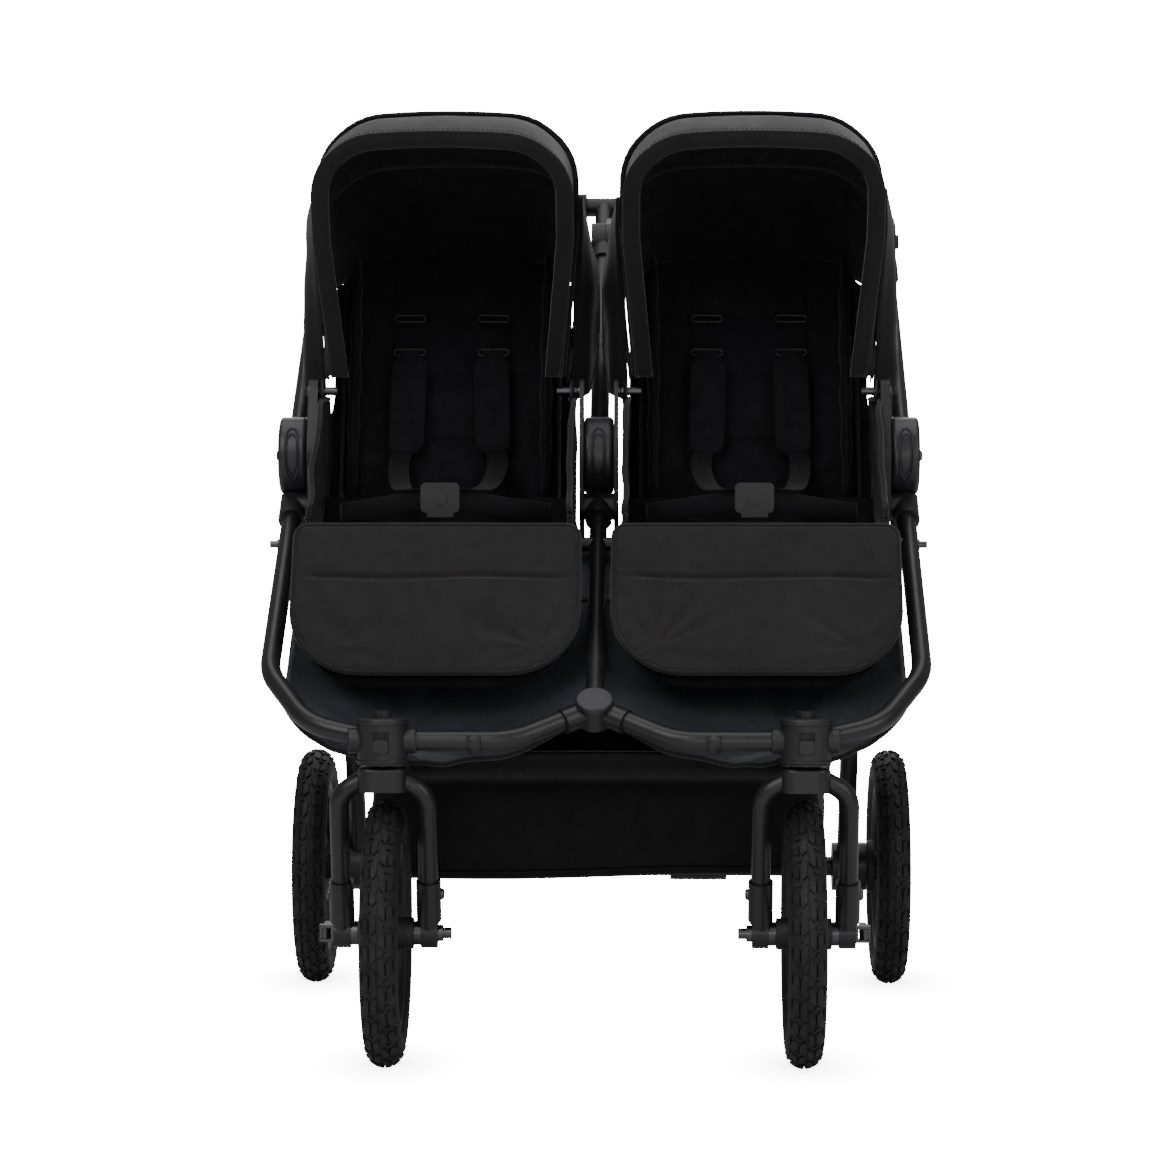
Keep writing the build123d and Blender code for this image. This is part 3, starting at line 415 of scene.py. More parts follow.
nodeMaterials = {
    "frame_tubes": frameMetal, "centre_joint": frameMetal, "handle_uprights": frameMetal, "handlebar": frameMetal,
    "rear_legs": frameMetal, "rear_axle_beam": frameMetal, "seat_frame": frameMetal, "basket_rail": frameMetal,
    "fork": frameMetal, "centre_cap": hubPlastic, "steering_heads": moulding, "hub_brackets": moulding,
    "hub_covers": hubPlastic, "tilt_housings": moulding, "brake_pedal": moulding, "harness_buckles": moulding,
    "frame_fasteners": darkSteel, "axle_caps": darkSteel, "handle_grips": gripFoam, "swivel_lock": moulding,
    "fold_trigger": moulding, "buckle_button": moulding, "front_wheel": moulding, "rear_wheel": moulding,
    "tilt_button": moulding, "front_axle": darkSteel, "quick_release": darkSteel, "brake_pin": bareSteel,
    "backrest_board": boardPlastic, "leg_rest_board": boardPlastic, "front_tyre": tyreRubber,
    "rear_tyre": tyreRubber, "canopy_rears": canopyCloth, "canopy_front": canopyCloth,
    "canopy_middle": canopyCloth, "seat_bases": seatCloth, "seat_sides": seatCloth, "backrest_pad": seatCloth,
    "leg_rest_pad": padCloth, "footwell": wellCloth, "basket": basketCloth,
}
for nodeName, node in frame["nodes"].items():
    stem = nodeName.replace("_left", "").replace("_right", "")
    material = nodeMaterials.get(nodeName) or nodeMaterials[stem]
    if node.data.materials:
        for number in range(len(node.data.materials)):
            node.data.materials[number] = material
    else:
        node.data.materials.append(material)

print("stage: floor")
floorMaterial, floorTree, floorShader = startMaterial("paleFloor")
floorShader.inputs["Base Color"].default_value = (0.8, 0.8, 0.8, 1)
floorShader.inputs["Roughness"].default_value = 0.7
# the eye sees a floor as white as the backdrop, with a painted shadow near each tyre
floorPlace = floorTree.nodes.new("ShaderNodeTexCoord")
paintedTyreShadow = None
for footX, footY in [(side * axle.x, axle.y) for side in (-1, 1) for axle in (frontAxle, rearAxle)]:
    spot = floorTree.nodes.new("ShaderNodeMapping")
    spot.vector_type = "TEXTURE"
    spot.inputs["Location"].default_value = (footX, footY + 0.02, 0)
    spot.inputs["Scale"].default_value = (0.20, 0.34, 1.0)
    fade = floorTree.nodes.new("ShaderNodeTexGradient")
    fade.gradient_type = "QUADRATIC_SPHERE"
    floorTree.links.new(floorPlace.outputs["Object"], spot.inputs["Vector"])
    floorTree.links.new(spot.outputs["Vector"], fade.inputs["Vector"])
    if paintedTyreShadow is None:
        paintedTyreShadow = fade.outputs["Fac"]
    else:
        total = floorTree.nodes.new("ShaderNodeMath")
        total.operation = "ADD"
        floorTree.links.new(paintedTyreShadow, total.inputs[0])
        floorTree.links.new(fade.outputs["Fac"], total.inputs[1])
        paintedTyreShadow = total.outputs[0]
# painted shadow: the glow falls to 0.16 of its strength at the middle of each tyre's spot
glowWithPaintedShadow = floorTree.nodes.new("ShaderNodeMapRange")
glowWithPaintedShadow.inputs["From Max"].default_value = 1.0
glowWithPaintedShadow.inputs["To Min"].default_value = studio["seen"]
glowWithPaintedShadow.inputs["To Max"].default_value = studio["seen"] * 0.16
floorTree.links.new(paintedTyreShadow, glowWithPaintedShadow.inputs["Value"])
floorGlow = floorTree.nodes.new("ShaderNodeEmission")
floorTree.links.new(glowWithPaintedShadow.outputs["Result"], floorGlow.inputs["Strength"])
floorPath = floorTree.nodes.new("ShaderNodeLightPath")
floorChoice = floorTree.nodes.new("ShaderNodeMixShader")
floorTree.links.new(floorPath.outputs["Is Camera Ray"], floorChoice.inputs["Fac"])
floorTree.links.new(floorShader.outputs["BSDF"], floorChoice.inputs[1])
floorTree.links.new(floorGlow.outputs["Emission"], floorChoice.inputs[2])
floorTree.links.new(floorChoice.outputs["Shader"], floorTree.nodes["Material Output"].inputs["Surface"])
floorCorners = [(-30, -12, 0), (30, -12, 0), (30, 40, 0), (-30, 40, 0)]
floor = meshPiece("floor", floorCorners, [(0, 1, 2, 3)], floorMaterial, False)

print("stage: canopies")
canopySizes = {
    "radius": 0.326, "half": 0.155, "foot": 0.140, "footRadius": 0.018, "corner": 0.078, "step": 0.004,
    "frontEdge": 26.0, "arc": 30.0, "around": 72, "along": 18, "cloth": 0.0013, "lip": 0.017, "piping": 0.0021,
    "crown": 0.007,
}


def canopyProfile(inset, count):
    s = canopySizes
    half = s["half"] - inset
    top = s["radius"] - inset
    corner = s["corner"] - inset
    foot = s["foot"] - inset
    points = [Vector((foot, s["footRadius"])), Vector((half, 0.19))]
    for step in range(13):
        turn = math.radians(90 * step / 12)
        points.append(Vector((half - corner + corner * math.cos(turn), top - corner + corner * math.sin(turn))))
    points.append(Vector((0, top)))
    lengths = [0.0]
    for before, after in zip(points, points[1:]):
        lengths.append(lengths[-1] + (after - before).length)
    halfLine = []
    for index in range(count // 2 + 1):
        wanted = lengths[-1] * index / (count // 2)
        for number in range(1, len(points)):
            if lengths[number] >= wanted - 1e-9:
                share = (wanted - lengths[number - 1]) / (lengths[number] - lengths[number - 1])
                point = points[number - 1].lerp(points[number], share)
                break
        flat = max(0.0, 1 - (abs(point.x) / (half - corner * 0.4)) ** 2)
        halfLine.append(Vector((point.x, point.y + s["crown"] * flat - s["crown"] * 0.6 * (point.y > 0.2))))
    return halfLine + [Vector((-point.x, point.y)) for point in reversed(halfLine[:-1])]


def aroundCanopy(centreX, point, degreesForward):
    turn = math.radians(degreesForward)
    return Vector((centreX + point.x, canopyPlace.y - math.sin(turn) * point.y,
                   canopyPlace.z + math.cos(turn) * point.y))


def canopyPanel(pieceName, centreX, layer, rearEdge, seed):
    s = canopySizes
    rows = []
    for row in range(s["along"] + 1):
        share = row / s["along"]
        line = canopyProfile(layer * s["step"], s["around"])
        angle = rearEdge + s["arc"] * share
        for number, point in enumerate(line):
            high = min(1.0, point.y / s["radius"])
            slack = math.sin(math.pi * share)
            ripple = noise.noise(Vector((number * 0.19 + seed, share * 2.2, seed * 3.1)))
            tug = noise.noise(Vector((number * 0.55, share * 1.1 + seed, 4.0)))
            drop = slack * (0.0035 * high + 0.0016 * ripple + 0.0011 * tug)
            inward = Vector((point.x, point.y - 0.12)).normalized()
            rows.append(aroundCanopy(centreX, Vector((point.x, point.y)) - inward * drop, angle))
    columns = len(line)
    panel = meshPiece(pieceName, rows, gridFaces(s["along"] + 1, columns), canopyCloth)
    # the inside face takes the lining, whose near-black colour is painted shade
    panel.data.materials.append(liningCloth)
    middle = panel.data.polygons[len(panel.data.polygons) // 2]
    outwards = Vector(middle.center) - Vector((centreX, canopyPlace.y, canopyPlace.z))
    if middle.normal.dot(outwards) < 0:
        panel.data.flip_normals()
    solid = panel.modifiers.new("wall", "SOLIDIFY")
    solid.thickness = s["cloth"]
    solid.offset = -1
    solid.material_offset = 1
    return applyModifiers(panel)


def canopyHem(pieceName, centreX, layer, angle, radius, material):
    line = canopyProfile(layer * canopySizes["step"] - 0.0004, canopySizes["around"])
    path = [aroundCanopy(centreX, point, angle) for point in line]
    return ringTube(pieceName, path, radius, material, sides=8)


def canopyLip(pieceName, centreX, angle):
    section = [(-1.2, -0.0002), (-0.3, 0.0), (0.12, 0.002), (0.3, 0.007), (0.28, 0.012), (0.0, 0.0165),
               (-1.6, 0.0175), (-3.4, 0.012), (-4.6, 0.004)]
    rows = []
    for number, (turn, inward) in enumerate(section):
        line = canopyProfile(2 * canopySizes["step"] + inward, canopySizes["around"])
        for index, point in enumerate(line):
            wobble = 0.25 * noise.noise(Vector((index * 0.4, number * 0.3, centreX * 9)))
            rows.append(aroundCanopy(centreX, point, angle + turn + wobble * (0.2 < number / 9 < 0.9)))
    lip = meshPiece(pieceName, rows, gridFaces(len(section), len(line)), canopyCloth)
    return thicken(lip, 0.001, 0.0)


def stitchLine(pieceName, path, length, gap, thickness, material):
    points = [Vector(point) for point in path]
    lengths = [0.0]
    for before, after in zip(points, points[1:]):
        lengths.append(lengths[-1] + (after - before).length)
    curveMesh = bpy.data.meshes.new(pieceName + "Path")
    curveMesh.from_pydata([tuple(point) for point in points], [(n, n + 1) for n in range(len(points) - 1)], [])
    runner = bpy.data.objects.new(pieceName, curveMesh)
    bpy.context.collection.objects.link(runner)
    tree = bpy.data.node_groups.new(pieceName + "Nodes", "GeometryNodeTree")
    tree.interface.new_socket("Path", in_out="INPUT", socket_type="NodeSocketGeometry")
    pitchSocket = tree.interface.new_socket("Pitch", in_out="INPUT", socket_type="NodeSocketFloat")
    longSocket = tree.interface.new_socket("Stitch Length", in_out="INPUT", socket_type="NodeSocketFloat")
    thickSocket = tree.interface.new_socket("Thickness", in_out="INPUT", socket_type="NodeSocketFloat")
    tree.interface.new_socket("Stitches", in_out="OUTPUT", socket_type="NodeSocketGeometry")
    inside = tree.nodes.new("NodeGroupInput")
    outside = tree.nodes.new("NodeGroupOutput")
    toCurve = tree.nodes.new("GeometryNodeMeshToCurve")
    spread = tree.nodes.new("GeometryNodeCurveToPoints")
    spread.mode = "LENGTH"
    stitch = tree.nodes.new("GeometryNodeMeshUVSphere")
    stitch.inputs["Segments"].default_value = 6
    stitch.inputs["Rings"].default_value = 4
    size = tree.nodes.new("ShaderNodeCombineXYZ")
    place = tree.nodes.new("GeometryNodeInstanceOnPoints")
    real = tree.nodes.new("GeometryNodeRealizeInstances")
    paint = tree.nodes.new("GeometryNodeSetMaterial")
    paint.inputs["Material"].default_value = material
    tree.links.new(inside.outputs["Path"], toCurve.inputs["Mesh"])
    tree.links.new(toCurve.outputs["Curve"], spread.inputs["Curve"])
    tree.links.new(inside.outputs["Pitch"], spread.inputs["Length"])
    tree.links.new(spread.outputs["Points"], place.inputs["Points"])
    tree.links.new(spread.outputs["Rotation"], place.inputs["Rotation"])
    tree.links.new(stitch.outputs["Mesh"], place.inputs["Instance"])
    stitch.inputs["Radius"].default_value = 1.0
    tree.links.new(inside.outputs["Thickness"], size.inputs["X"])
    tree.links.new(inside.outputs["Thickness"], size.inputs["Y"])
    tree.links.new(inside.outputs["Stitch Length"], size.inputs["Z"])
    tree.links.new(size.outputs["Vector"], place.inputs["Scale"])
    tree.links.new(place.outputs["Instances"], real.inputs["Geometry"])
    tree.links.new(real.outputs["Geometry"], paint.inputs["Geometry"])
    tree.links.new(paint.outputs["Geometry"], outside.inputs["Stitches"])
    runnerNodes = runner.modifiers.new("stitches", "NODES")
    runnerNodes.node_group = tree
    runnerNodes[pitchSocket.identifier] = length + gap
    runnerNodes[longSocket.identifier] = length / 2
    runnerNodes[thickSocket.identifier] = thickness
    return applyModifiers(runner)


threadMaterial = metalMaterial("sewingThread", (0.03, 0.03, 0.032), (0.6, 0.75), 600.0)

for sideName, side in seatSides:
    centreX = side * seatX
    s = canopySizes
    frontStart = s["frontEdge"] - s["arc"]
    middleStart = frontStart - s["arc"] + 1
    rearStart = middleStart - s["arc"] + 1
    panels = (
        ("front", 2, frontStart, "canopy_front_" + sideName, 3.0),
        ("middle", 1, middleStart, "canopy_middle_" + sideName, 7.0),
        ("rear", 0, rearStart, "chassis", 12.0),
    )
    for panelName, layer, start, bodyName, seed in panels:
        panel = canopyPanel(panelName + "CanopyCloth_" + sideName, centreX, layer, start, seed + side)
        hem = canopyHem("hem", centreX, layer, start + s["arc"] - 0.5, s["piping"], pipingCloth)
        line = canopyProfile(layer * s["step"] - 0.0002, s["around"])
        seamPath = [aroundCanopy(centreX, point, start + s["arc"] - 2.6) for point in line[4:-4]]
        stitches = stitchLine("stitches", seamPath, 0.0034, 0.0022, 0.00045, threadMaterial)
        extras = [panel, hem, stitches]
        if panelName == "front":
            extras.append(canopyLip("lip", centreX, start + s["arc"]))
        joined = joinPieces(panelName + "Canopy_" + sideName, extras)
        nodeName = "canopy_rears" if panelName == "rear" else "canopy_" + panelName + "_" + sideName
        smoothShade(joined)
        assign(joined, bodyName, nodeName)
        declareSheet(joined, 0.98, 0.20)

print("stage: padded pieces")


def roundedOutline(width, top, bottom, topCorner, bottomCorner, steps=8):
    half = width / 2
    points = []
    corners = (
        (half - topCorner, top + topCorner, topCorner, -90),
        (half - bottomCorner, bottom - bottomCorner, bottomCorner, 0),
        (-half + bottomCorner, bottom - bottomCorner, bottomCorner, 90),
        (-half + topCorner, top + topCorner, topCorner, 180),
    )
    for x, u, radius, start in corners:
        for step in range(steps + 1):
            turn = math.radians(start + 90 * step / steps)
            points.append((x + radius * math.cos(turn), u + radius * math.sin(turn)))
    return points


def spreadEvenly(outline, spacing):
    points = [Vector(point) for point in outline]
    even = []
    for before, after in zip(points, points[1:] + points[:1]):
        pieces = max(1, round((after - before).length / spacing))
        for step in range(pieces):
            even.append(before.lerp(after, step / pieces))
    return even


def slabPiece(pieceName, outline, low, high, place, material):
    # a flat closed slab whose outline is in (across, down) and whose place() gives the point in the stroller
    even = spreadEvenly(outline, 0.012)
    middleX = sum(point.x for point in even) / len(even)
    middleU = sum(point.y for point in even) / len(even)
    rings = 9
    points = []
    for depth in (low, high):
        for ring in range(rings):
            share = 1 - ring / rings
            for point in even:
                points.append(place(middleX + (point.x - middleX) * share,
                                    middleU + (point.y - middleU) * share, depth))
        points.append(place(middleX, middleU, depth))
    count = len(even)
    layer = rings * count + 1
    faces = []
    for level in range(2):
        base = level * layer
        for ring in range(rings - 1):
            for number in range(count):
                after = (number + 1) % count
                faces.append((base + ring * count + number, base + ring * count + after,
                              base + (ring + 1) * count + after, base + (ring + 1) * count + number))
        last = base + (rings - 1) * count
        faces.extend((last + number, last + (number + 1) % count, base + layer - 1) for number in range(count))
    faces.extend((number, (number + 1) % count, layer + (number + 1) % count, layer + number)
                 for number in range(count))
    return faceOutwards(meshPiece(pieceName, points, faces, material))


def puffUp(piece, cap, sewn, pressure=4.0, voxel=0.005):
    # sewn(point) says whether a point is held down by a seam
    remesh = piece.modifiers.new("remesh", "REMESH")
    remesh.mode = "VOXEL"
    remesh.voxel_size = voxel * 1.0
    remesh.use_smooth_shade = True
    applyModifiers(piece)
    startPoints = [vertex.co.copy() for vertex in piece.data.vertices]
    held = piece.vertex_groups.new(name="sewn")
    for vertex in piece.data.vertices:
        weight = sewn(vertex.co)
        if weight > 0:
            held.add([vertex.index], weight, "REPLACE")
    cloth = piece.modifiers.new("puff", "CLOTH")
    settings = cloth.settings
    settings.quality = 4
    settings.mass = 0.25
    settings.tension_stiffness = 12
    settings.compression_stiffness = 10
    settings.shear_stiffness = 4
    settings.bending_stiffness = 0.4
    settings.use_pressure = True
    settings.uniform_pressure_force = pressure
    settings.effector_weights.gravity = 0
    settings.vertex_group_mass = "sewn"
    cloth.collision_settings.use_collision = False
    cloth.point_cache.frame_start = 1
    cloth.point_cache.frame_end = 20
    for frameNumber in range(1, 21):
        bpy.context.scene.frame_set(frameNumber)
    applyModifiers(piece)
    bpy.context.scene.frame_set(1)
    for vertex, start in zip(piece.data.vertices, startPoints):
        move = vertex.co - start
        if move.length > cap:
            vertex.co = start + move.normalized() * cap
    finer = piece.modifiers.new("finer", "SUBSURF")
    finer.levels = 1
    finer.render_levels = 1
    return applyModifiers(piece)


legPad = {
    "width": 0.314, "top": -0.004, "bottom": 0.180, "topCorner": 0.014, "bottomCorner": 0.076, "back": 0.004,
    "front": 0.014, "lean": 31.0, "seam": 0.062, "piping": 0.0031, "underBottom": 0.189, "cap": 0.009,
}


def onLegRest(side):
    lean = math.radians(legPad["lean"])
    down = Vector((0, -math.sin(lean), -math.cos(lean)))
    out = Vector((0, -math.cos(lean), math.sin(lean)))
    origin = Vector((side * seatX, legHinge.y, legHinge.z))

    def place(across, along, depth):
        return origin + Vector((across, 0, 0)) + down * along + out * depth

    def unplace(point):
        offset = point - origin
        return offset.x, offset.dot(down), offset.dot(out)
    return place, unplace


def edgeDistance(across, along, outline):
    here = Vector((across, along))
    return min((here - Vector(point)).length for point in outline)


for sideName, side in seatSides:
    s = legPad
    place, unplace = onLegRest(side)
    outline = roundedOutline(s["width"], s["top"], s["bottom"], s["topCorner"], s["bottomCorner"])
    fineOutline = spreadEvenly(outline, 0.004)
    pad = slabPiece("legRestPad_" + sideName, outline, s["back"], s["front"], place, padCloth)

    def sewnLegPad(point):
        across, along, depth = unplace(point)
        if depth < s["back"] + 0.002:
            return 1.0
        if abs(along - s["seam"]) < 0.0028:
            return 1.0
        return 1.0 if edgeDistance(across, along, fineOutline) < 0.006 else 0.0

    puffUp(pad, s["cap"], sewnLegPad, pressure=5.0, voxel=0.0045)
    # creases run from the lower corners towards the seam, and the seam itself is a groove
    seed = 3.7 if side < 0 else 9.1
    for vertex in pad.data.vertices:
        across, along, depth = unplace(vertex.co)
        if depth < s["front"] - 0.003:
            continue
        inside = min(1.0, edgeDistance(across, along, fineOutline[::3]) / 0.03)
        fold = 0.0
        for cornerX in (-0.11, 0.11):
            turn = math.atan2(along - 0.15, across - cornerX)
            reach = math.hypot(across - cornerX, along - 0.15)
            wave = noise.noise(Vector((turn * 3.2, seed + cornerX * 20, 0.3)))
            fold += wave * math.exp(-((reach - 0.05) / 0.05) ** 2)
        broad = noise.noise(Vector((across * 14, along * 9, seed)))
        tuck = math.exp(-((along - s["seam"] + 0.0015 * math.sin(across * 30)) / 0.0035) ** 2)
        pucker = noise.noise(Vector((across * 70, seed, 1.0))) * math.exp(-((along - s["seam"]) / 0.012) ** 2)
        move = inside * (0.0032 * fold + 0.0018 * broad + 0.0012 * pucker) - 0.0035 * tuck * inside
        vertex.co = place(across, along, depth + move)
    pipePath = [place(point.x * 1.004, point.y, 0.0105) for point in spreadEvenly(outline, 0.006)]
    pipe = ringTube("piping", pipePath, s["piping"], pipingCloth, sides=8, closed=True)
    # the underside takes the lining, whose near-black colour is painted shade
    under = slabPiece("under", roundedOutline(s["width"] - 0.012, 0.012, s["underBottom"], 0.02, 0.082),
                      -0.0085, -0.003, place, liningCloth)
    seamPath = [place(-0.15 + 0.30 * n / 60, s["seam"] + 0.004, s["front"] + 0.0015) for n in range(61)]
    sewn = stitchLine("seam", seamPath, 0.0032, 0.002, 0.0004, threadMaterial)
    joined = joinPieces("legRest_" + sideName, [pad, pipe, under, sewn])
    smoothShade(joined)
    assign(joined, "leg_rest_" + sideName, "leg_rest_pad_" + sideName)

print("stage: seats")
wallSizes = {"half": 0.1455, "bottom": 0.574, "frontTop": 0.600, "rise": 0.126, "rows": 16, "columns": 32}
flapSizes = {
    "from": 0.030, "reach": 0.326, "half": 0.1420, "lowerExtra": 0.0070, "bendFrom": 0.108, "offBoard": 0.0066,
    "edgeDrop": 0.0235, "rows": 24, "columns": 40,
}
seatSizes = {
    "backLean": 20.0, "backWidth": 0.256, "backBottom": 0.046, "backTop": 0.358, "backBack": 0.0045,
    "backFront": 0.015, "cap": 0.009, "columns": (-0.072, 0.072), "rows": (0.125, 0.205, 0.285),
    "baseFront": 0.012, "baseLow": 0.5705, "baseHigh": 0.582,
}


def onBackrest(side):
    lean = math.radians(seatSizes["backLean"])
    upward = Vector((0, math.sin(lean), math.cos(lean)))
    out = Vector((0, -math.cos(lean), math.sin(lean)))
    origin = Vector((side * seatX, backHinge.y, backHinge.z))

    def place(across, along, depth):
        return origin + Vector((across, 0, 0)) + upward * along + out * depth

    def unplace(point):
        offset = point - origin
        return offset.x, offset.dot(upward), offset.dot(out)
    return place, unplace


def strapPiece(pieceName, path, width, thickness, across, material):
    # a flat woven strap: its section is a thin rounded bar set across the path
    points = [Vector(point) for point in path]
    aside = Vector(across).normalized()
    rows = []
    for index, point in enumerate(points):
        along = (points[min(index + 1, len(points) - 1)] - points[max(index - 1, 0)]).normalized()
        up = aside.cross(along).normalized()
        for x, y in ((-0.5, 0), (-0.47, 0.5), (0, 0.55), (0.47, 0.5),
                     (0.5, 0), (0.47, -0.5), (0, -0.55), (-0.47, -0.5)):
            rows.append(point + aside * (x * width) + up * (y * thickness))
    faces = gridFaces(len(points), 8, wrapColumns=True)
    faces.append(tuple(range(7, -1, -1)))
    faces.append(tuple(range((len(points) - 1) * 8, len(points) * 8)))
    return faceOutwards(meshPiece(pieceName, rows, faces, material))


def smoothPath(points, steps=8):
    # a smooth line through the given points
    spots = [Vector(point) for point in points]
    spots = [spots[0] * 2 - spots[1]] + spots + [spots[-1] * 2 - spots[-2]]
    path = []
    for number in range(1, len(spots) - 2):
        a, b, c, d = spots[number - 1:number + 3]
        for step in range(steps):
            t = step / steps
            path.append(0.5 * ((2 * b) + (c - a) * t + (2 * a - 5 * b + 4 * c - d) * t * t
                               + (3 * b - a - 3 * c + d) * t ** 3))
    path.append(spots[-2])
    return path


for sideName, side in seatSides:
    s = seatSizes
    place, unplace = onBackrest(side)
    outline = roundedOutline(s["backWidth"], -s["backTop"], -s["backBottom"], 0.045, 0.02)
    outline = [(across, -along) for across, along in outline]
    fineOutline = spreadEvenly(outline, 0.006)
    backPad = slabPiece("backPad_" + sideName, outline, s["backBack"], s["backFront"], place, seatCloth)

    def sewnBack(point):
        across, along, depth = unplace(point)
        if depth < s["backBack"] + 0.002:
            return 1.0
        if min(abs(across - column) for column in s["columns"]) < 0.003:
            return 1.0
        if abs(across) < s["columns"][1] and min(abs(along - row) for row in s["rows"]) < 0.003:
            return 1.0
        return 1.0 if edgeDistance(across, along, fineOutline) < 0.007 else 0.0

    puffUp(backPad, s["cap"], sewnBack, pressure=4.5, voxel=0.0052)
    for vertex in backPad.data.vertices:
        across, along, depth = unplace(vertex.co)
        if depth > s["backFront"] - 0.002:
            groove = max(math.exp(-((across - column) / 0.003) ** 2) for column in s["columns"])
            if abs(across) < s["columns"][1]:
                groove = max(groove, max(math.exp(-((along - row) / 0.003) ** 2) for row in s["rows"]))
            ripple = 0.0014 * noise.noise(Vector((across * 22, along * 16, side * 5)))
            vertex.co = place(across, along, depth + ripple - 0.0028 * groove)
    # side bolsters that turn the flat insert into a shallow tub
    bolsters = []
    for edge in (-1, 1):
        rows = []
        for row in range(25):
            along = 0.05 + 0.30 * row / 24
            for column in range(15):
                turn = 2 * math.pi * column / 15
                thick = 0.008 * (1 + 0.15 * math.sin(row * 1.3 + edge))
                thick = thick * math.sin(math.pi * (row + 1.2) / 26.4) ** 0.3
                reach = 0.024
                across = edge * (0.1135 + thick * math.cos(turn) * 0.9)
                depth = 0.024 + reach * (0.75 * math.sin(turn) + 0.3) * math.sin(math.pi * (row + 2) / 28) ** 0.35
                rows.append(place(across, along, depth + 0.001 * noise.noise(Vector((row * 0.6, column, edge)))))
        faces = gridFaces(25, 15, wrapColumns=True)
        faces.append(tuple(range(14, -1, -1)))
        faces.append(tuple(range(24 * 15, 25 * 15)))
        bolsters.append(faceOutwards(meshPiece("bolster", rows, faces, seatCloth)))
    # slots for the harness with their moulded guides
    guides = []
    for across in (-0.05, 0.05):
        for along in (0.19, 0.232, 0.275):
            ring = roundedOutline(0.036, -0.004, 0.004, 0.0035, 0.0035, 3)
            path = [place(across + x, along + u, 0.0255) for x, u in ring]
            guideMaterial = bareSteel if along == 0.19 else moulding
            guides.append(ringTube("guide", path, 0.0012, guideMaterial, sides=6, closed=True))
    joined = joinPieces("backrestPad_" + sideName, [backPad] + bolsters + guides)
    smoothShade(joined)
    assign(joined, "backrest_" + sideName, "backrest_pad_" + sideName)

    # shoulder pads lie on the straps
    shoulderPads = []
    for edge in (-1, 1):
        padOutline = roundedOutline(0.042, 0.10, 0.225, 0.015, 0.015, 5)
        rows = []

        def onStrap(across, along, depth, edge=edge):
            return place(edge * 0.05 + across + edge * 0.06 * (0.16 - along) * 0.4, along, depth)
        shoulder = slabPiece("shoulder", padOutline, 0.030, 0.036, onStrap, seatCloth)
        puffed = shoulder.modifiers.new("round", "SUBSURF")
        puffed.levels = puffed.render_levels = 1
        applyModifiers(shoulder)
        shoulderPads.append(shoulder)
    joined = joinPieces("shoulderPads_" + sideName, shoulderPads)
    smoothShade(joined)
    assign(joined, "backrest_" + sideName)

    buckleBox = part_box("buckle_button_" + sideName)
    buckle = (Vector(buckleBox[0]) + Vector(buckleBox[1])) / 2
    for edge in (-1, 1):
        top = place(edge * 0.05, 0.235, 0.026)
        route = smoothPath([
            top, place(edge * 0.05, 0.20, 0.030), place(edge * 0.052, 0.12, 0.031), place(edge * 0.058, 0.085, 0.045),
            Vector((buckle.x + edge * 0.052, backHinge.y - 0.085, 0.628)),
            Vector((buckle.x + edge * 0.040, buckle.y + 0.035, 0.622)),
            Vector((buckle.x + edge * 0.016, buckle.y + 0.008, 0.624)),
        ], 6)
        strap = strapPiece("shoulderStrap" + ("Left" if edge < 0 else "Right") + "_" + sideName, route, 0.024, 0.0018,
                           (1, 0, 0), webbing)
        tuple(route[-10])
        tuple(route[12])
        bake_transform(strap)
    waist = []
    for edge in (-1, 1):
        route = smoothPath([
            (buckle.x + edge * 0.018, buckle.y + 0.008, 0.612), (buckle.x + edge * 0.05, buckle.y + 0.03, 0.606),
            (buckle.x + edge * 0.095, buckle.y + 0.075, 0.598), (buckle.x + edge * 0.122, buckle.y + 0.115, 0.594),
        ], 6)
        waist.append(strapPiece("waist", route, 0.024, 0.0018, (0, 0.25, 1), webbing))
    crotch = smoothPath([(buckle.x, buckle.y + 0.004, 0.600), (buckle.x, buckle.y + 0.002, 0.596),
                         (buckle.x, buckle.y + 0.012, 0.5925), (buckle.x, buckle.y + 0.040, 0.5925)], 5)
    waist.append(strapPiece("crotch", crotch, 0.030, 0.0018, (1, 0, 0), webbing))
    joined = joinPieces("waistStraps_" + sideName, waist)
    assign(joined, "chassis")

    # the seat base is a puffed cushion with two sewn channels
    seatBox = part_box("seat_bases")
    frontEdge, backEdge = seatBox[0][1], seatBox[1][1]
    baseOutline = roundedOutline(0.258, frontEdge + 0.002, backEdge - 0.002, 0.03, 0.02)

    def onBase(across, along, depth):
        return Vector((side * seatX + across, along, depth))
    basePad = slabPiece("base", baseOutline, s["baseLow"], s["baseHigh"], onBase, seatCloth)

    def sewnBase(point):
        if point.z < s["baseLow"] + 0.002:
            return 1.0
        if abs(abs(point.x - side * seatX) - 0.075) < 0.003:
            return 1.0
        return 1.0 if edgeDistance(point.x - side * seatX, point.y, baseOutline) < 0.006 else 0.0

    puffUp(basePad, 0.009, sewnBase, voxel=0.0055)
    basePad.name = "seatBase_" + sideName
    assign(basePad, "chassis", "seat_bases")

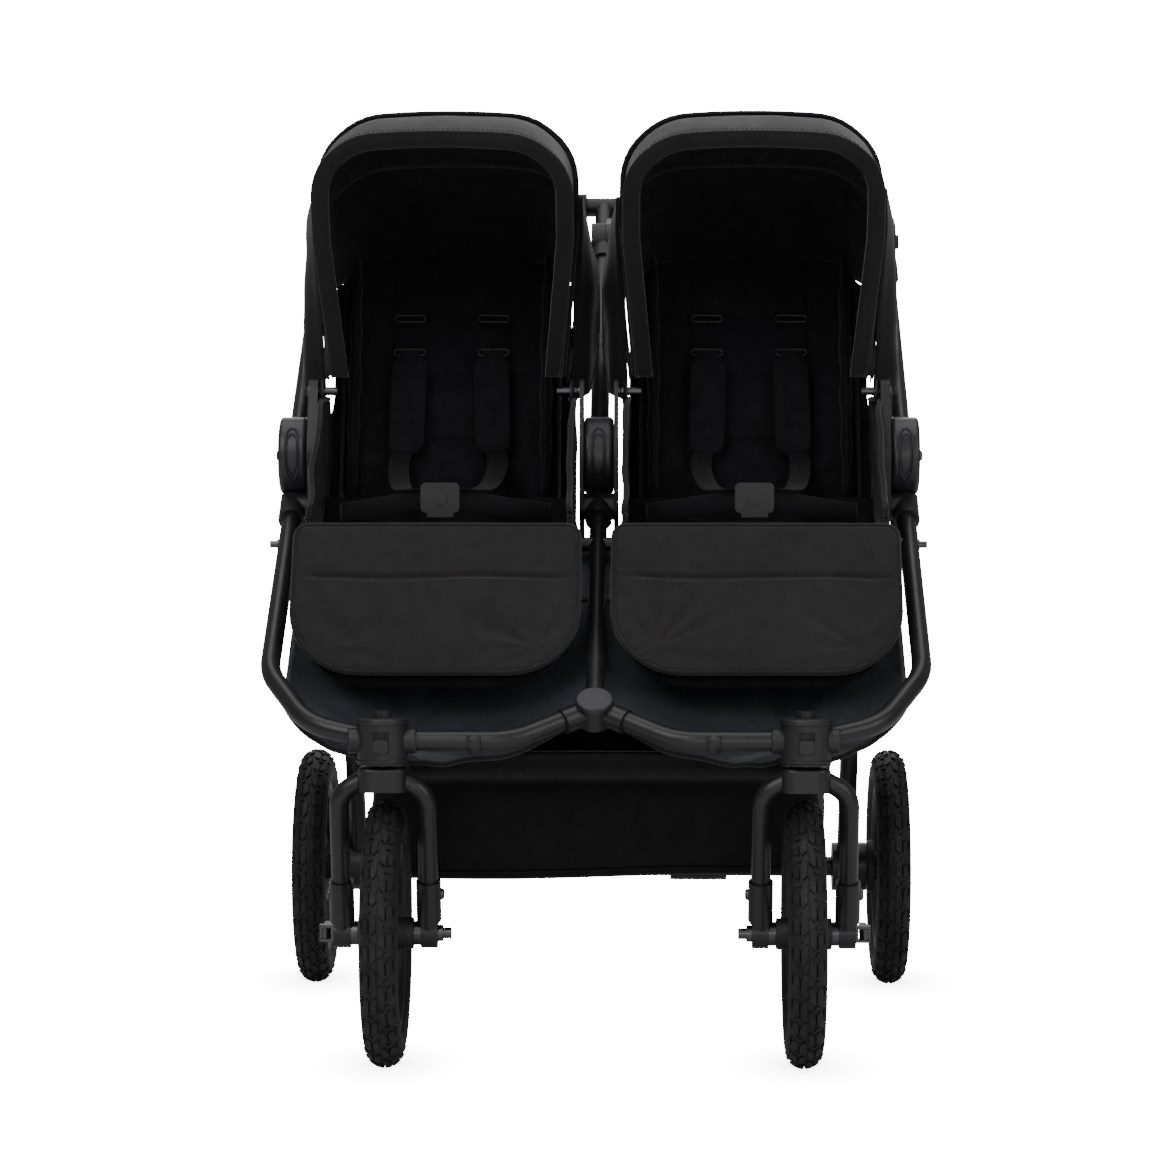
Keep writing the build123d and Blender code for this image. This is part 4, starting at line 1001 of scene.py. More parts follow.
    # fabric walls beside the seat, bound along their top edge, and a strip that closes the seat's rear corner
    w = wallSizes
    walls = []
    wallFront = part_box("seat_sides")[0][1]
    for edge in (-1, 1):
        rows = []
        wallX = side * seatX + edge * w["half"]
        for row in range(w["rows"] + 1):
            height = row / w["rows"]
            for column in range(w["columns"] + 1):
                share = column / w["columns"]
                back = backHinge.y + 0.022 + 0.038 * height
                y = wallFront + (back - wallFront) * share
                top = w["frontTop"] + w["rise"] * smoothStep(-0.05, 0.66, share) ** 0.85
                z = w["bottom"] + (top - w["bottom"]) * height
                fold = noise.noise(Vector((share * 7, height * 2.5, edge * 3 + side)))
                pull = noise.noise(Vector((share * 3 + height * 4, height - share * 6, edge + side * 4)))
                wave = 0.0034 * fold * (0.3 + height) + 0.0012 * math.sin(share * 22 + edge) * height + 0.002 * pull
                low = max(0.0, 1 - (z - w["bottom"]) / 0.016)
                rows.append((wallX + wave * (1 - low) + edge * 0.0035 * low, y, z))
        perRow = w["columns"] + 1
        wall = meshPiece("wall", rows, gridFaces(w["rows"] + 1, perRow), seatCloth)
        topLine = [Vector(point) for point in rows[w["rows"] * perRow:]]
        frontLine = [Vector(rows[row * perRow]) for row in range(w["rows"])]
        walls.append(thicken(wall, 0.0045, 0.0))
        walls.append(ringTube("binding", frontLine + topLine, 0.0032, pipingCloth, sides=8))
    cornerRows = []
    for row in range(6):
        for column in range(31):
            across = -0.147 + 0.294 * column / 30
            dip = 0.0012 * noise.noise(Vector((across * 40, row * 0.7, side * 2)))
            cornerRows.append((side * seatX + across, backEdge + 0.003 + dip + 0.0015 * row, 0.566 + 0.009 * row))
    walls.append(thicken(meshPiece("corner", cornerRows, gridFaces(6, 31), seatCloth), 0.002, 0.0))
    joined = joinPieces("seatWalls_" + sideName, walls)
    smoothShade(joined)
    assign(joined, "chassis", "seat_sides")
    declareSheet(joined, 0.66, 0.16)

    # the cloth behind the backrest, which reaches out past the seat walls
    f = flapSizes
    flapRows = []
    for row in range(f["rows"] + 1):
        upShare = row / f["rows"]
        along = f["from"] + f["reach"] * upShare
        for column in range(f["columns"] + 1):
            half = f["half"] + f["lowerExtra"] * (1 - smoothStep(9, 12, row))
            across = (-1 + 2 * column / f["columns"]) * half
            outwards = smoothStep(f["bendFrom"], f["half"], abs(across))
            behind = f["offBoard"] + outwards * (f["edgeDrop"] - 0.0125 * upShare)
            behind += 0.003 * (1 - outwards) * math.sin(math.pi * upShare)
            droop = noise.noise(Vector((across * 18, along * 9, side * 6))) * 0.0022
            roundTop = 0.022 * smoothStep(0.09, f["half"], abs(across)) ** 2 * smoothStep(18, f["rows"], row)
            flapRows.append(place(across, along - roundTop, -behind - abs(droop)))
    flap = meshPiece("backrestFlap_" + sideName, flapRows, gridFaces(f["rows"] + 1, f["columns"] + 1), seatCloth)
    thicken(flap, 0.0012)
    assign(flap, "backrest_" + sideName)
    declareSheet(flap, 0.31, 0.34)

print("stage: footwell")
wellSizes = {
    "slope": 33.9, "reach": 0.285, "inner": 0.0006, "outer": 0.3405, "sag": 0.048, "rows": 44, "columns": 60,
    "cloth": 0.0012, "tube": 0.0125, "bibHalf": 0.0215, "bibStart": 0.273, "bibTop": 0.385,
}


def onTubePlane(x, along, below):
    slope = math.radians(wellSizes["slope"])
    return Vector((x, steerPlace.y + along * math.cos(slope) + below * math.sin(slope),
                   steerPlace.z + along * math.sin(slope) - below * math.cos(slope)))


def tubeLine(absX):
    # how far up the slope the front tube lies at a distance across
    inner = 0.050 * (1 - smoothStep(0.012, 0.105, absX))
    outer = 0.125 * (1 - math.sqrt(max(0.0, 1 - min(1.0, max(0.0, (absX - 0.232) / 0.1145)) ** 2)))
    return inner + outer


for sideName, side in seatSides:
    s = wellSizes
    rows = []
    for row in range(s["rows"] + 1):
        share = row / s["rows"]
        for column in range(s["columns"] + 1):
            crossShare = column / s["columns"]
            absX = s["inner"] + (s["outer"] - s["inner"]) * crossShare
            first = tubeLine(absX) + 0.003
            along = first + (s["reach"] - first) * share
            dish = math.sin(math.pi * min(1.0, crossShare * 0.97 + 0.015)) ** 0.8
            drop = s["tube"] + s["sag"] * dish * math.sin(math.pi * (0.08 + 0.84 * share)) ** 0.7
            folds = noise.noise(Vector((absX * 16 + side, along * 7, 2.0)))
            pulls = noise.noise(Vector((math.atan2(along - 0.05, absX - 0.22) * 4, side * 3.0, 1.5)))
            drop += 0.007 * folds * dish + 0.006 * pulls * dish
            underTube = s["tube"] + 0.0022 * (1 - smoothStep(0.012, 0.026, absX))
            rows.append(onTubePlane(side * absX, along, max(drop, underTube)))
    well = meshPiece("footwellCloth_" + sideName, rows, gridFaces(s["rows"] + 1, s["columns"] + 1), wellCloth)
    thicken(well, s["cloth"])
    edgePath = [Vector(rows[column]) for column in range(s["columns"] + 1)]
    rim = ringTube("rim", edgePath, 0.0028, pipingCloth, sides=8)
    ridgePath = [Vector(rows[row * (s["columns"] + 1)]) for row in range(s["rows"] + 1)]
    ridge = ringTube("ridge", ridgePath, 0.0022, pipingCloth, sides=8)
    bibRows = []
    for row in range(9):
        for column in range(7):
            bibX = s["inner"] + (s["bibHalf"] - s["inner"]) * column / 6
            bibAlong = s["bibStart"] + (s["bibTop"] - s["bibStart"]) * row / 8
            bibRows.append(onTubePlane(side * bibX, bibAlong, s["tube"] + 0.0036))
    bib = thicken(meshPiece("bib", bibRows, gridFaces(9, 7), wellCloth), s["cloth"])
    joined = joinPieces("footwell_" + sideName, [well, rim, ridge, bib])
    smoothShade(joined)
    assign(joined, "chassis", "footwell")
    declareSheet(joined, 0.38, 0.42)

print("stage: basket")
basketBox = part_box("basket")
basketSizes = {
    "half": 0.262, "rear": basketBox[1][1] - 0.003, "front": basketBox[0][1], "standing": steerPlace.y + 0.212,
    "top": basketBox[1][2] + 0.010, "bottom": basketBox[0][2] + 0.004, "cloth": 0.0014, "around": 168,
}


def basketRing(z, frontY, frontHalf, half, rearY, count):
    corner = 0.03
    outline = [(0, frontY), (frontHalf, frontY)]
    if frontY < basketSizes["standing"] - 0.02:
        outline.append((half, basketSizes["standing"] - 0.01))
    outline += [(half, (frontY + rearY) / 2), (half, rearY - corner), (half - corner, rearY), (0, rearY)]
    points = [Vector(point) for point in outline]
    lengths = [0.0]
    for before, after in zip(points, points[1:]):
        lengths.append(lengths[-1] + (after - before).length)
    halfLine = []
    for index in range(count // 2 + 1):
        wanted = lengths[-1] * index / (count // 2)
        for number in range(1, len(points)):
            if lengths[number] >= wanted - 1e-9:
                share = (wanted - lengths[number - 1]) / max(1e-9, lengths[number] - lengths[number - 1])
                halfLine.append(points[number - 1].lerp(points[number], share))
                break
    ring = halfLine + [Vector((-point.x, point.y)) for point in reversed(halfLine[1:-1])]
    return [Vector((point.x, point.y, z)) for point in ring]


b = basketSizes
stand = b["standing"]
levels = [
    (b["top"], b["front"] + 0.002, 0.205, b["half"]),
    (b["top"] - 0.012, b["front"] + 0.004, 0.205, b["half"]),
    (b["top"] - 0.026, b["front"] + 0.022, 0.206, b["half"]),
    (b["top"] - 0.032, b["front"] + 0.07, 0.215, b["half"]),
    (b["top"] - 0.036, b["front"] + 0.11, 0.23, b["half"]),
    (b["top"] - 0.046, stand - 0.010, 0.245, b["half"]),
    (b["top"] - 0.062, stand - 0.003, 0.25, b["half"] + 0.001),
    (b["top"] - 0.085, stand, 0.252, b["half"] + 0.001),
    (b["top"] - 0.108, stand + 0.001, 0.252, b["half"]),
    (b["top"] - 0.128, stand + 0.002, 0.252, b["half"] - 0.001),
    (b["bottom"] + 0.010, stand + 0.003, 0.250, b["half"] - 0.003),
    (b["bottom"] + 0.003, stand + 0.007, 0.246, b["half"] - 0.008),
    (b["bottom"], stand + 0.020, 0.235, b["half"] - 0.022),
]
rows = []
for levelNumber, (z, frontY, frontHalf, half) in enumerate(levels):
    ring = basketRing(z, frontY, frontHalf, half, b["rear"] - (0.0 if z > b["bottom"] + 0.02 else 0.01), b["around"])
    lowness = levelNumber / (len(levels) - 1)
    for number, point in enumerate(ring):
        turn = 2 * math.pi * number / b["around"]
        outward = Vector((point.x, point.y - 0.0, 0)).normalized()
        crease = noise.noise(Vector((math.cos(turn) * 6, math.sin(turn) * 6, lowness * 1.6)))
        gather = noise.noise(Vector((math.cos(turn) * 26, math.sin(turn) * 26, lowness * 2.5)))
        slack = math.sin(math.pi * min(1, lowness * 1.02))
        move = 0.0045 * crease * slack + 0.0022 * gather * lowness
        hem = 0.003 * math.sin(3 * turn) * (levelNumber >= 10)
        rows.append(point + outward * move + Vector((0, 0, hem + 0.004 * crease * lowness * (levelNumber < 10))))
columns = b["around"]
faces = gridFaces(len(levels), columns, wrapColumns=True)
middle = Vector((0, (stand + b["rear"]) / 2, b["bottom"] + 0.001))
floorRings = 7
lastRing = rows[-columns:]
for ringNumber in range(1, floorRings):
    share = ringNumber / floorRings
    for number, point in enumerate(lastRing):
        sagging = 0.002 * noise.noise(Vector((point.x * 12 * (1 - share), point.y * 12, ringNumber)))
        rows.append(point.lerp(middle, share) + Vector((0, 0, sagging)))
base = (len(levels) - 1) * columns
faces += [(base + r * columns + c, base + r * columns + (c + 1) % columns,
           base + (r + 1) * columns + (c + 1) % columns, base + (r + 1) * columns + c)
          for r in range(floorRings - 1) for c in range(columns)]
rows.append(middle)
lastBase = len(rows) - 1 - columns
faces += [(lastBase + c, lastBase + (c + 1) % columns, len(rows) - 1) for c in range(columns)]
tub = meshPiece("tub", rows, faces, basketCloth)
thicken(tub, b["cloth"])
smoother = tub.modifiers.new("smoother", "SUBSURF")
smoother.levels = smoother.render_levels = 1
applyModifiers(tub)
topHem = ringTube("topHem", rows[:columns], 0.0042, basketCloth, sides=8, closed=True)
lowerSeam = ringTube("lowerSeam", rows[10 * columns:11 * columns], 0.0022, basketCloth, sides=6, closed=True)
basketPieces = [tub, topHem, lowerSeam]
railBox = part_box("basket_rail")
# loops of webbing hang the basket from its rail
sideLoops = [(edge * 0.2625, loopY) for edge in (-1, 1) for loopY in (-0.08, 0.04, 0.15)]
rearLoops = [(edge * 0.15, b["rear"] + 0.001) for edge in (-1, 1)]
for x, y in sideLoops + rearLoops:
    acrossWay = (0, 1, 0) if abs(x) > 0.2 else (1, 0, 0)
    outDir = Vector((math.copysign(1, x), 0, 0)) if abs(x) > 0.2 else Vector((0, 1, 0))
    railMiddle = Vector((x, y, (railBox[0][2] + railBox[1][2]) / 2))
    if abs(x) > 0.2:
        railMiddle.x = math.copysign(0.260, x)
    loop = [railMiddle + outDir * (0.0078 * math.cos(t)) + Vector((0, 0, 0.0078 * math.sin(t)))
            for t in [math.radians(a) for a in range(-80, 261, 20)]]
    tail = [loop[0] + Vector((0, 0, -0.028)) + outDir * 0.004, loop[0] + Vector((0, 0, -0.012)) + outDir * 0.003]
    basketPieces.append(strapPiece("loop", tail + loop, 0.022, 0.0014, acrossWay, webbing))
basketJoined = joinPieces("basketCloth", basketPieces)
smoothShade(basketJoined)
assign(basketJoined, "chassis", "basket")
declareSheet(basketJoined, 0.80, 0.75)

print("stage: tyres")
tyreSizes = {
    "radius": 0.1455, "width": 0.0425, "groove": 0.0028, "pitches": 30, "bead": 0.1052, "around": 120,
}


def tyreCarcass(centre):
    # the carcass under the tread, a closed ring that sits on the rim
    s = tyreSizes
    section = []
    outerRadius = s["width"] / 2 - 0.0006
    middle = s["radius"] - s["groove"] - outerRadius
    for step in range(25):
        turn = math.radians(-38 + 256 * step / 24)
        section.append((outerRadius * math.cos(turn), middle + outerRadius * math.sin(turn)))
    section += [(-0.0125, s["bead"] + 0.0005), (-0.010, s["bead"] - 0.0005), (0.010, s["bead"] - 0.0005),
                (0.0125, s["bead"] + 0.0005)]
    rows = []
    for number in range(s["around"]):
        turn = 2 * math.pi * number / s["around"]
        for across, reach in section:
            rows.append(centre + Vector((across, reach * math.cos(turn), reach * math.sin(turn))))
    return faceOutwards(meshPiece("carcass", rows, gridFaces(s["around"], len(section), True, True), tyreRubber))


def treadPitch():
    # one pitch of tread blocks and nubs, made at the top of a tyre at the origin
    s = tyreSizes
    sectionRadius = s["width"] / 2
    middle = s["radius"] - sectionRadius
    pitchAngle = 360 / s["pitches"]
    blocks = []

    def onTyre(crossDegrees, aroundDegrees, height):
        reach = middle + (sectionRadius + height) * math.cos(math.radians(crossDegrees))
        across = (sectionRadius + height) * math.sin(math.radians(crossDegrees))
        turn = math.radians(aroundDegrees)
        return Vector((across, reach * math.sin(turn), reach * math.cos(turn)))

    def block(outline, blockName):
        count = len(outline)
        low = [onTyre(c, a, -0.0034) for c, a in outline]
        midCross = sum(c for c, a in outline) / count
        midAround = sum(a for c, a in outline) / count
        top = [onTyre(midCross + (c - midCross) * 0.9, midAround + (a - midAround) * 0.9, 0.0) for c, a in outline]
        faces = [(n, (n + 1) % count, count + (n + 1) % count, count + n) for n in range(count)]
        faces.append(tuple(range(count, 2 * count)))
        blocks.append(faceOutwards(meshPiece(blockName, low + top, faces, tyreRubber, False)))

    p = pitchAngle
    # chevron blocks each side of the middle groove, shifted half a pitch
    for edge, shift in ((1, 0.0), (-1, p / 2)):
        block([(edge * 3, shift - 0.30 * p), (edge * 19, shift - 0.48 * p), (edge * 24, shift - 0.20 * p),
               (edge * 17, shift + 0.16 * p), (edge * 8, shift + 0.30 * p), (edge * 3, shift + 0.22 * p)], "crown")
        block([(edge * 27, shift - 0.42 * p), (edge * 44, shift - 0.30 * p), (edge * 50, shift + 0.06 * p),
               (edge * 40, shift + 0.20 * p), (edge * 27, shift + 0.06 * p)], "shoulder")
        block([(edge * 22, shift + 0.30 * p), (edge * 38, shift + 0.34 * p), (edge * 37, shift + 0.46 * p),
               (edge * 22, shift + 0.42 * p)], "bar")
        block([(edge * 56, shift - 0.24 * p), (edge * 68, shift - 0.16 * p), (edge * 68, shift + 0.12 * p),
               (edge * 56, shift + 0.16 * p)], "edge")
        # moulding hairs stand off the shoulder
        for cross, around in ((47, 0.30), (61, -0.36), (71, 0.3)):
            root = onTyre(edge * cross, shift + around * p, -0.002)
            tip = onTyre(edge * cross, shift + around * p, 0.0032 if cross < 70 else 0.0026)
            side = Vector((0.0, 0.0004, 0.0))
            blocks.append(meshPiece("hair", [root + side, root - side, root + Vector((0, 0, 0.0004)), tip],
                                    [(0, 1, 3), (1, 2, 3), (2, 0, 3), (0, 2, 1)], tyreRubber, False))
    return joinPieces("treadPitch", blocks)


def repeatRound(pitchObject, count, pieceName, material):
    # instances one pitch on a ring of points about the wheel's axle
    tree = bpy.data.node_groups.new(pieceName + "Nodes", "GeometryNodeTree")
    countSocket = tree.interface.new_socket("Pitches", in_out="INPUT", socket_type="NodeSocketInt")
    tree.interface.new_socket("Tread", in_out="OUTPUT", socket_type="NodeSocketGeometry")
    inside = tree.nodes.new("NodeGroupInput")
    outside = tree.nodes.new("NodeGroupOutput")
    line = tree.nodes.new("GeometryNodeMeshLine")
    line.mode = "OFFSET"
    line.inputs["Offset"].default_value = (0, 0, 0)
    info = tree.nodes.new("GeometryNodeObjectInfo")
    info.inputs["Object"].default_value = pitchObject
    info.inputs["As Instance"].default_value = True
    index = tree.nodes.new("GeometryNodeInputIndex")
    turn = tree.nodes.new("ShaderNodeMath")
    turn.operation = "MULTIPLY"
    turn.inputs[1].default_value = 2 * math.pi / count
    turnVector = tree.nodes.new("ShaderNodeCombineXYZ")
    place = tree.nodes.new("GeometryNodeInstanceOnPoints")
    real = tree.nodes.new("GeometryNodeRealizeInstances")
    paint = tree.nodes.new("GeometryNodeSetMaterial")
    paint.inputs["Material"].default_value = material
    tree.links.new(inside.outputs["Pitches"], line.inputs["Count"])
    tree.links.new(line.outputs["Mesh"], place.inputs["Points"])
    tree.links.new(info.outputs["Geometry"], place.inputs["Instance"])
    tree.links.new(index.outputs["Index"], turn.inputs[0])
    tree.links.new(turn.outputs[0], turnVector.inputs["X"])
    tree.links.new(turnVector.outputs["Vector"], place.inputs["Rotation"])
    tree.links.new(place.outputs["Instances"], real.inputs["Geometry"])
    tree.links.new(real.outputs["Geometry"], paint.inputs["Geometry"])
    tree.links.new(paint.outputs["Geometry"], outside.inputs["Tread"])
    holder = meshPiece(pieceName, [(0, 0, 0)], [])
    nodes = holder.modifiers.new("repeat", "NODES")
    nodes.node_group = tree
    nodes[countSocket.identifier] = count
    return applyModifiers(holder)


pitchObject = treadPitch()
treadRing = repeatRound(pitchObject, tyreSizes["pitches"], "treadRing", tyreRubber)
wheelPlaces = (
    ("front", "left", -frontAxle.x, frontAxle), ("front", "right", frontAxle.x, frontAxle),
    ("rear", "left", -rearAxle.x, rearAxle), ("rear", "right", rearAxle.x, rearAxle),
)
for endName, sideName, x, axle in wheelPlaces:
    centre = Vector((x, axle.y, axle.z))
    tread = meshPiece("tread", [], [])
    oldMesh = tread.data
    tread.data = treadRing.data.copy()
    bpy.data.meshes.remove(oldMesh)
    tread.data.transform(Matrix.Translation(centre))
    wallRibs = []
    for edge in (-1, 1):
        for reach, across, radius in ((0.117, 0.0186, 0.0008), (0.1125, 0.0166, 0.0011)):
            path = [centre + Vector((edge * across, reach * math.cos(t), reach * math.sin(t)))
                    for t in [2 * math.pi * n / 72 for n in range(72)]]
            wallRibs.append(ringTube("rib", path, radius, tyreRubber, sides=6, closed=True, upHint=(1, 0, 0)))
    carcass = tyreCarcass(centre)
    valve = ringTube("valve", [centre + Vector((0, 0, 0.097)), centre + Vector((0, 0, 0.074))], 0.0032, tyreRubber)
    valveEnds = [centre + Vector((0, 0, 0.078)), centre + Vector((0, 0, 0.066))]
    valveTip = ringTube("valveTip", valveEnds, 0.0024, bareSteel)
    tyre = joinPieces(endName + "TyreTread_" + sideName, [carcass, tread, valve, valveTip] + wallRibs)
    assign(tyre, endName + "_wheel_" + sideName, endName + "_tyre_" + sideName)
for leftover in (pitchObject, treadRing):
    bpy.data.objects.remove(leftover)

print("stage: hardware")


def boltHead(radius, height, socket):
    # a domed cap screw at the origin, pointing up Z
    profile = [(radius, 0), (radius, height * 0.45), (radius * 0.86, height * 0.8), (radius * 0.6, height),
               (socket, height), (socket * 0.98, height * 0.45), (0.0001, height * 0.45)]
    rows = []
    for number in range(24):
        turn = 2 * math.pi * number / 24
        for reach, up in profile:
            sixSided = reach
            if reach <= socket:
                sixSided = reach / max(0.9, math.cos((turn % (math.pi / 3)) - math.pi / 6) * 1.1)
            rows.append((sixSided * math.cos(turn), sixSided * math.sin(turn), up))
    return faceOutwards(meshPiece("boltHead", rows, gridFaces(24, len(profile), wrapRows=True), darkSteel))


def screwsAt(pieceName, spots, screw, material):
    # spots are (place, direction); one Geometry Nodes tree puts a screw on each
    mesh = bpy.data.meshes.new(pieceName)
    mesh.from_pydata([tuple(place) for place, direction in spots], [], [])
    holder = bpy.data.objects.new(pieceName, mesh)
    bpy.context.collection.objects.link(holder)
    facing = mesh.attributes.new("facing", "FLOAT_VECTOR", "POINT")
    for number, (place, direction) in enumerate(spots):
        facing.data[number].vector = direction
    tree = bpy.data.node_groups.new(pieceName + "Nodes", "GeometryNodeTree")
    tree.interface.new_socket("Spots", in_out="INPUT", socket_type="NodeSocketGeometry")
    sizeSocket = tree.interface.new_socket("Size", in_out="INPUT", socket_type="NodeSocketFloat")
    tree.interface.new_socket("Screws", in_out="OUTPUT", socket_type="NodeSocketGeometry")
    inside = tree.nodes.new("NodeGroupInput")
    outside = tree.nodes.new("NodeGroupOutput")
    named = tree.nodes.new("GeometryNodeInputNamedAttribute")
    named.data_type = "FLOAT_VECTOR"
    named.inputs["Name"].default_value = "facing"
    align = tree.nodes.new("FunctionNodeAlignRotationToVector")
    align.axis = "Z"
    info = tree.nodes.new("GeometryNodeObjectInfo")
    info.inputs["Object"].default_value = screw
    info.inputs["As Instance"].default_value = True
    place = tree.nodes.new("GeometryNodeInstanceOnPoints")
    real = tree.nodes.new("GeometryNodeRealizeInstances")
    paint = tree.nodes.new("GeometryNodeSetMaterial")
    paint.inputs["Material"].default_value = material
    tree.links.new(named.outputs["Attribute"], align.inputs["Vector"])
    tree.links.new(align.outputs["Rotation"], place.inputs["Rotation"])
    tree.links.new(inside.outputs["Spots"], place.inputs["Points"])
    tree.links.new(inside.outputs["Size"], place.inputs["Scale"])
    tree.links.new(info.outputs["Geometry"], place.inputs["Instance"])
    tree.links.new(place.outputs["Instances"], real.inputs["Geometry"])
    tree.links.new(real.outputs["Geometry"], paint.inputs["Geometry"])
    tree.links.new(paint.outputs["Geometry"], outside.inputs["Screws"])
    nodes = holder.modifiers.new("screws", "NODES")
    nodes.node_group = tree
    nodes[sizeSocket.identifier] = 1.0
    return applyModifiers(holder)


screw = boltHead(0.0062, 0.0038, 0.0026)
legPivot = jointPlace("rear_leg_fold")
chassisSpots = []
for side in (-1, 1):
    out = Vector((side, 0, 0))
    chassisSpots.append((Vector((side * 0.3645, legPivot.y, legPivot.z)), out))
    chassisSpots.append((Vector((side * 0.3725, hubPlace.y, hubPlace.z)), out))
    chassisSpots.append((Vector((side * 0.3372, backHinge.y, backHinge.z)), out))
    chassisSpots.append((Vector((side * 0.3372, canopyPlace.y, canopyPlace.z)), out))
    for inner in (0.0226,):
        chassisSpots.append((Vector((side * inner, canopyPlace.y, canopyPlace.z)), out))
        chassisSpots.append((Vector((side * inner, backHinge.y, backHinge.z)), out))
screws = screwsAt("frameScrews", chassisSpots, screw, darkSteel)
assign(screws, "chassis")
for sideName, side in seatSides:
    forkSpots = []
    wheelX = side * frontAxle.x
    for leg in (-1, 1):
        sleeveTop = Vector((wheelX + leg * 0.047, frontAxle.y - 0.0115, 0.190))
        forkSpots.append((sleeveTop + Vector((leg * 0.0132, 0, 0)), Vector((leg, 0, 0))))
    forkScrews = screwsAt("forkScrews_" + sideName, forkSpots, screw, darkSteel)
    assign(forkScrews, "swivel_" + sideName)
bpy.data.objects.remove(screw)

# the long oval groove that wraps round the front of each hub cover, with its raised rim
coverPieces = []
for x in (-0.3545, 0.0, 0.3545):
    for grow, lift, radius, material in ((1.0, 0.0004, 0.0011, hubPlastic), (0.74, 0.0002, 0.0008, moulding)):
        path = []
        for number in range(72):
            turn = 2 * math.pi * number / 72
            across = 0.0078 * grow * math.copysign(abs(math.cos(turn)) ** 0.8, math.cos(turn))
            swing = math.radians(180 - 4 + 40 * grow * math.copysign(abs(math.sin(turn)) ** 0.7, math.sin(turn)))
            reach = 0.0452 + lift
            path.append(Vector((x + across, hubPlace.y + reach * math.cos(swing),
                                hubPlace.z + reach * math.sin(swing))))
        coverPieces.append(ringTube("groove", path, radius, material, sides=6, closed=True, upHint=(1, 0, 0)))
coverRims = joinPieces("hubCoverGrooves", coverPieces)
assign(coverRims, "handle")

# a plain ring on the centre cap
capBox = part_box("centre_cap")
capMiddle = (Vector(capBox[0]) + Vector(capBox[1])) / 2
slope = math.radians(33.9)
capUp = Vector((0, -math.sin(slope), math.cos(slope)))
capAside = Vector((1, 0, 0))
capAlong = capUp.cross(capAside)
capRings = []
for reach in (0.0168, 0.0125):
    path = [capMiddle + capUp * 0.0031 + capAside * reach * math.cos(t) + capAlong * reach * math.sin(t)
            for t in [2 * math.pi * n / 48 for n in range(48)]]
    capRings.append(ringTube("capRing", path, 0.0007, hubPlastic, sides=6, closed=True))
capRing = joinPieces("capRings", capRings)
assign(capRing, "chassis")

# ribs round the steering heads and a collar under each
headPieces = []
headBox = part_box("steering_heads")
for side in (-1, 1):
    centre = Vector((side * steerPlace.x, steerPlace.y, 0))
    for z, reach, radius in ((headBox[0][2] + 0.004, 0.0273, 0.0016), (headBox[0][2] + 0.0445, 0.0272, 0.0012)):
        path = [centre + Vector((reach * math.cos(t), reach * math.sin(t), z))
                for t in [2 * math.pi * n / 48 for n in range(48)]]
        headPieces.append(ringTube("headRib", path, radius, moulding, sides=8, closed=True))
    for edge in (-1, 1):
        tubeX = side * steerPlace.x + edge * 0.0275
        collar = [Vector((tubeX + edge * n * 0.003, steerPlace.y, steerPlace.z)) for n in range(-2, 4)]
        headPieces.append(ringTube("collar", collar, 0.0138, moulding, sides=24))
headRibs = joinPieces("headCollars", headPieces)
assign(headRibs, "chassis")

# small clips hang the footwell and basket edge under the front tube
clips = []
for side in (-1, 1):
    middleX = side * 0.128
    rows = [Vector((middleX + 0.0, steerPlace.y + 0.0135 * math.cos(t), steerPlace.z + 0.0135 * math.sin(t)))
            for t in [math.radians(a) for a in range(150, 391, 20)]]
    rows.append(rows[-1] + Vector((0, 0.004, -0.018)))
    clips.append(strapPiece("clip", rows, 0.014, 0.0022, (1, 0, 0), moulding))
clipPiece = joinPieces("tubeClips", clips)
assign(clipPiece, "chassis")

# canopy clips at the pivots
clipRows = []
for side in (-1, 1):
    for edge in (-1, 1):
        x = side * seatX + edge * 0.1435
        path = [Vector((x + edge * step * 0.0016, canopyPlace.y, canopyPlace.z)) for step in range(4)]
        clipRows.append(ringTube("clip", path, lambda share: 0.0155 * (1 - 0.35 * share ** 2), moulding, sides=24))
canopyClips = joinPieces("canopyClips", clipRows)
assign(canopyClips, "chassis")

# seams and end rings on the handle's foam
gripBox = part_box("handle_grips")
gripMiddle = (Vector(gripBox[0]) + Vector(gripBox[1])) / 2
gripRings = []
for x in (-0.2905, -0.0235, 0.0235, 0.2905):
    path = [Vector((x, gripMiddle.y + 0.0164 * math.cos(t), gripMiddle.z + 0.0164 * math.sin(t)))
            for t in [2 * math.pi * n / 40 for n in range(40)]]
    gripRings.append(ringTube("gripRing", path, 0.0014, moulding, sides=8, closed=True))
gripRingPiece = joinPieces("gripRings", gripRings)
assign(gripRingPiece, "handlebar")

# side gussets close the hood between its rear panel and the frame, and each turns in behind the pivot
gussetSizes = {
    "rows": 28, "columns": 28, "turnedColumns": 4, "footY": 0.036, "footRun": 0.112, "footZ": 0.7245,
    "footSlope": 0.62, "turnedX": 0.1465, "anchorX": 0.1585, "cloth": 0.0012, "hem": 0.002,
    "topReach": {"Outer": 0.236, "Inner": 0.226}, "limitX": {"Outer": 0.1900, "Inner": 0.1750},
}
gussetBulge = {
    "Outer": ((0.7125, 0.0260), (0.76, 0.0265), (0.82, 0.0225), (0.88, 0.0165), (0.94, 0.0085), (0.985, 0.0)),
    "Inner": ((0.7125, 0.0190), (0.76, 0.0200), (0.86, 0.0195), (0.90, 0.0110), (0.95, 0.0020), (0.98, 0.0)),
}


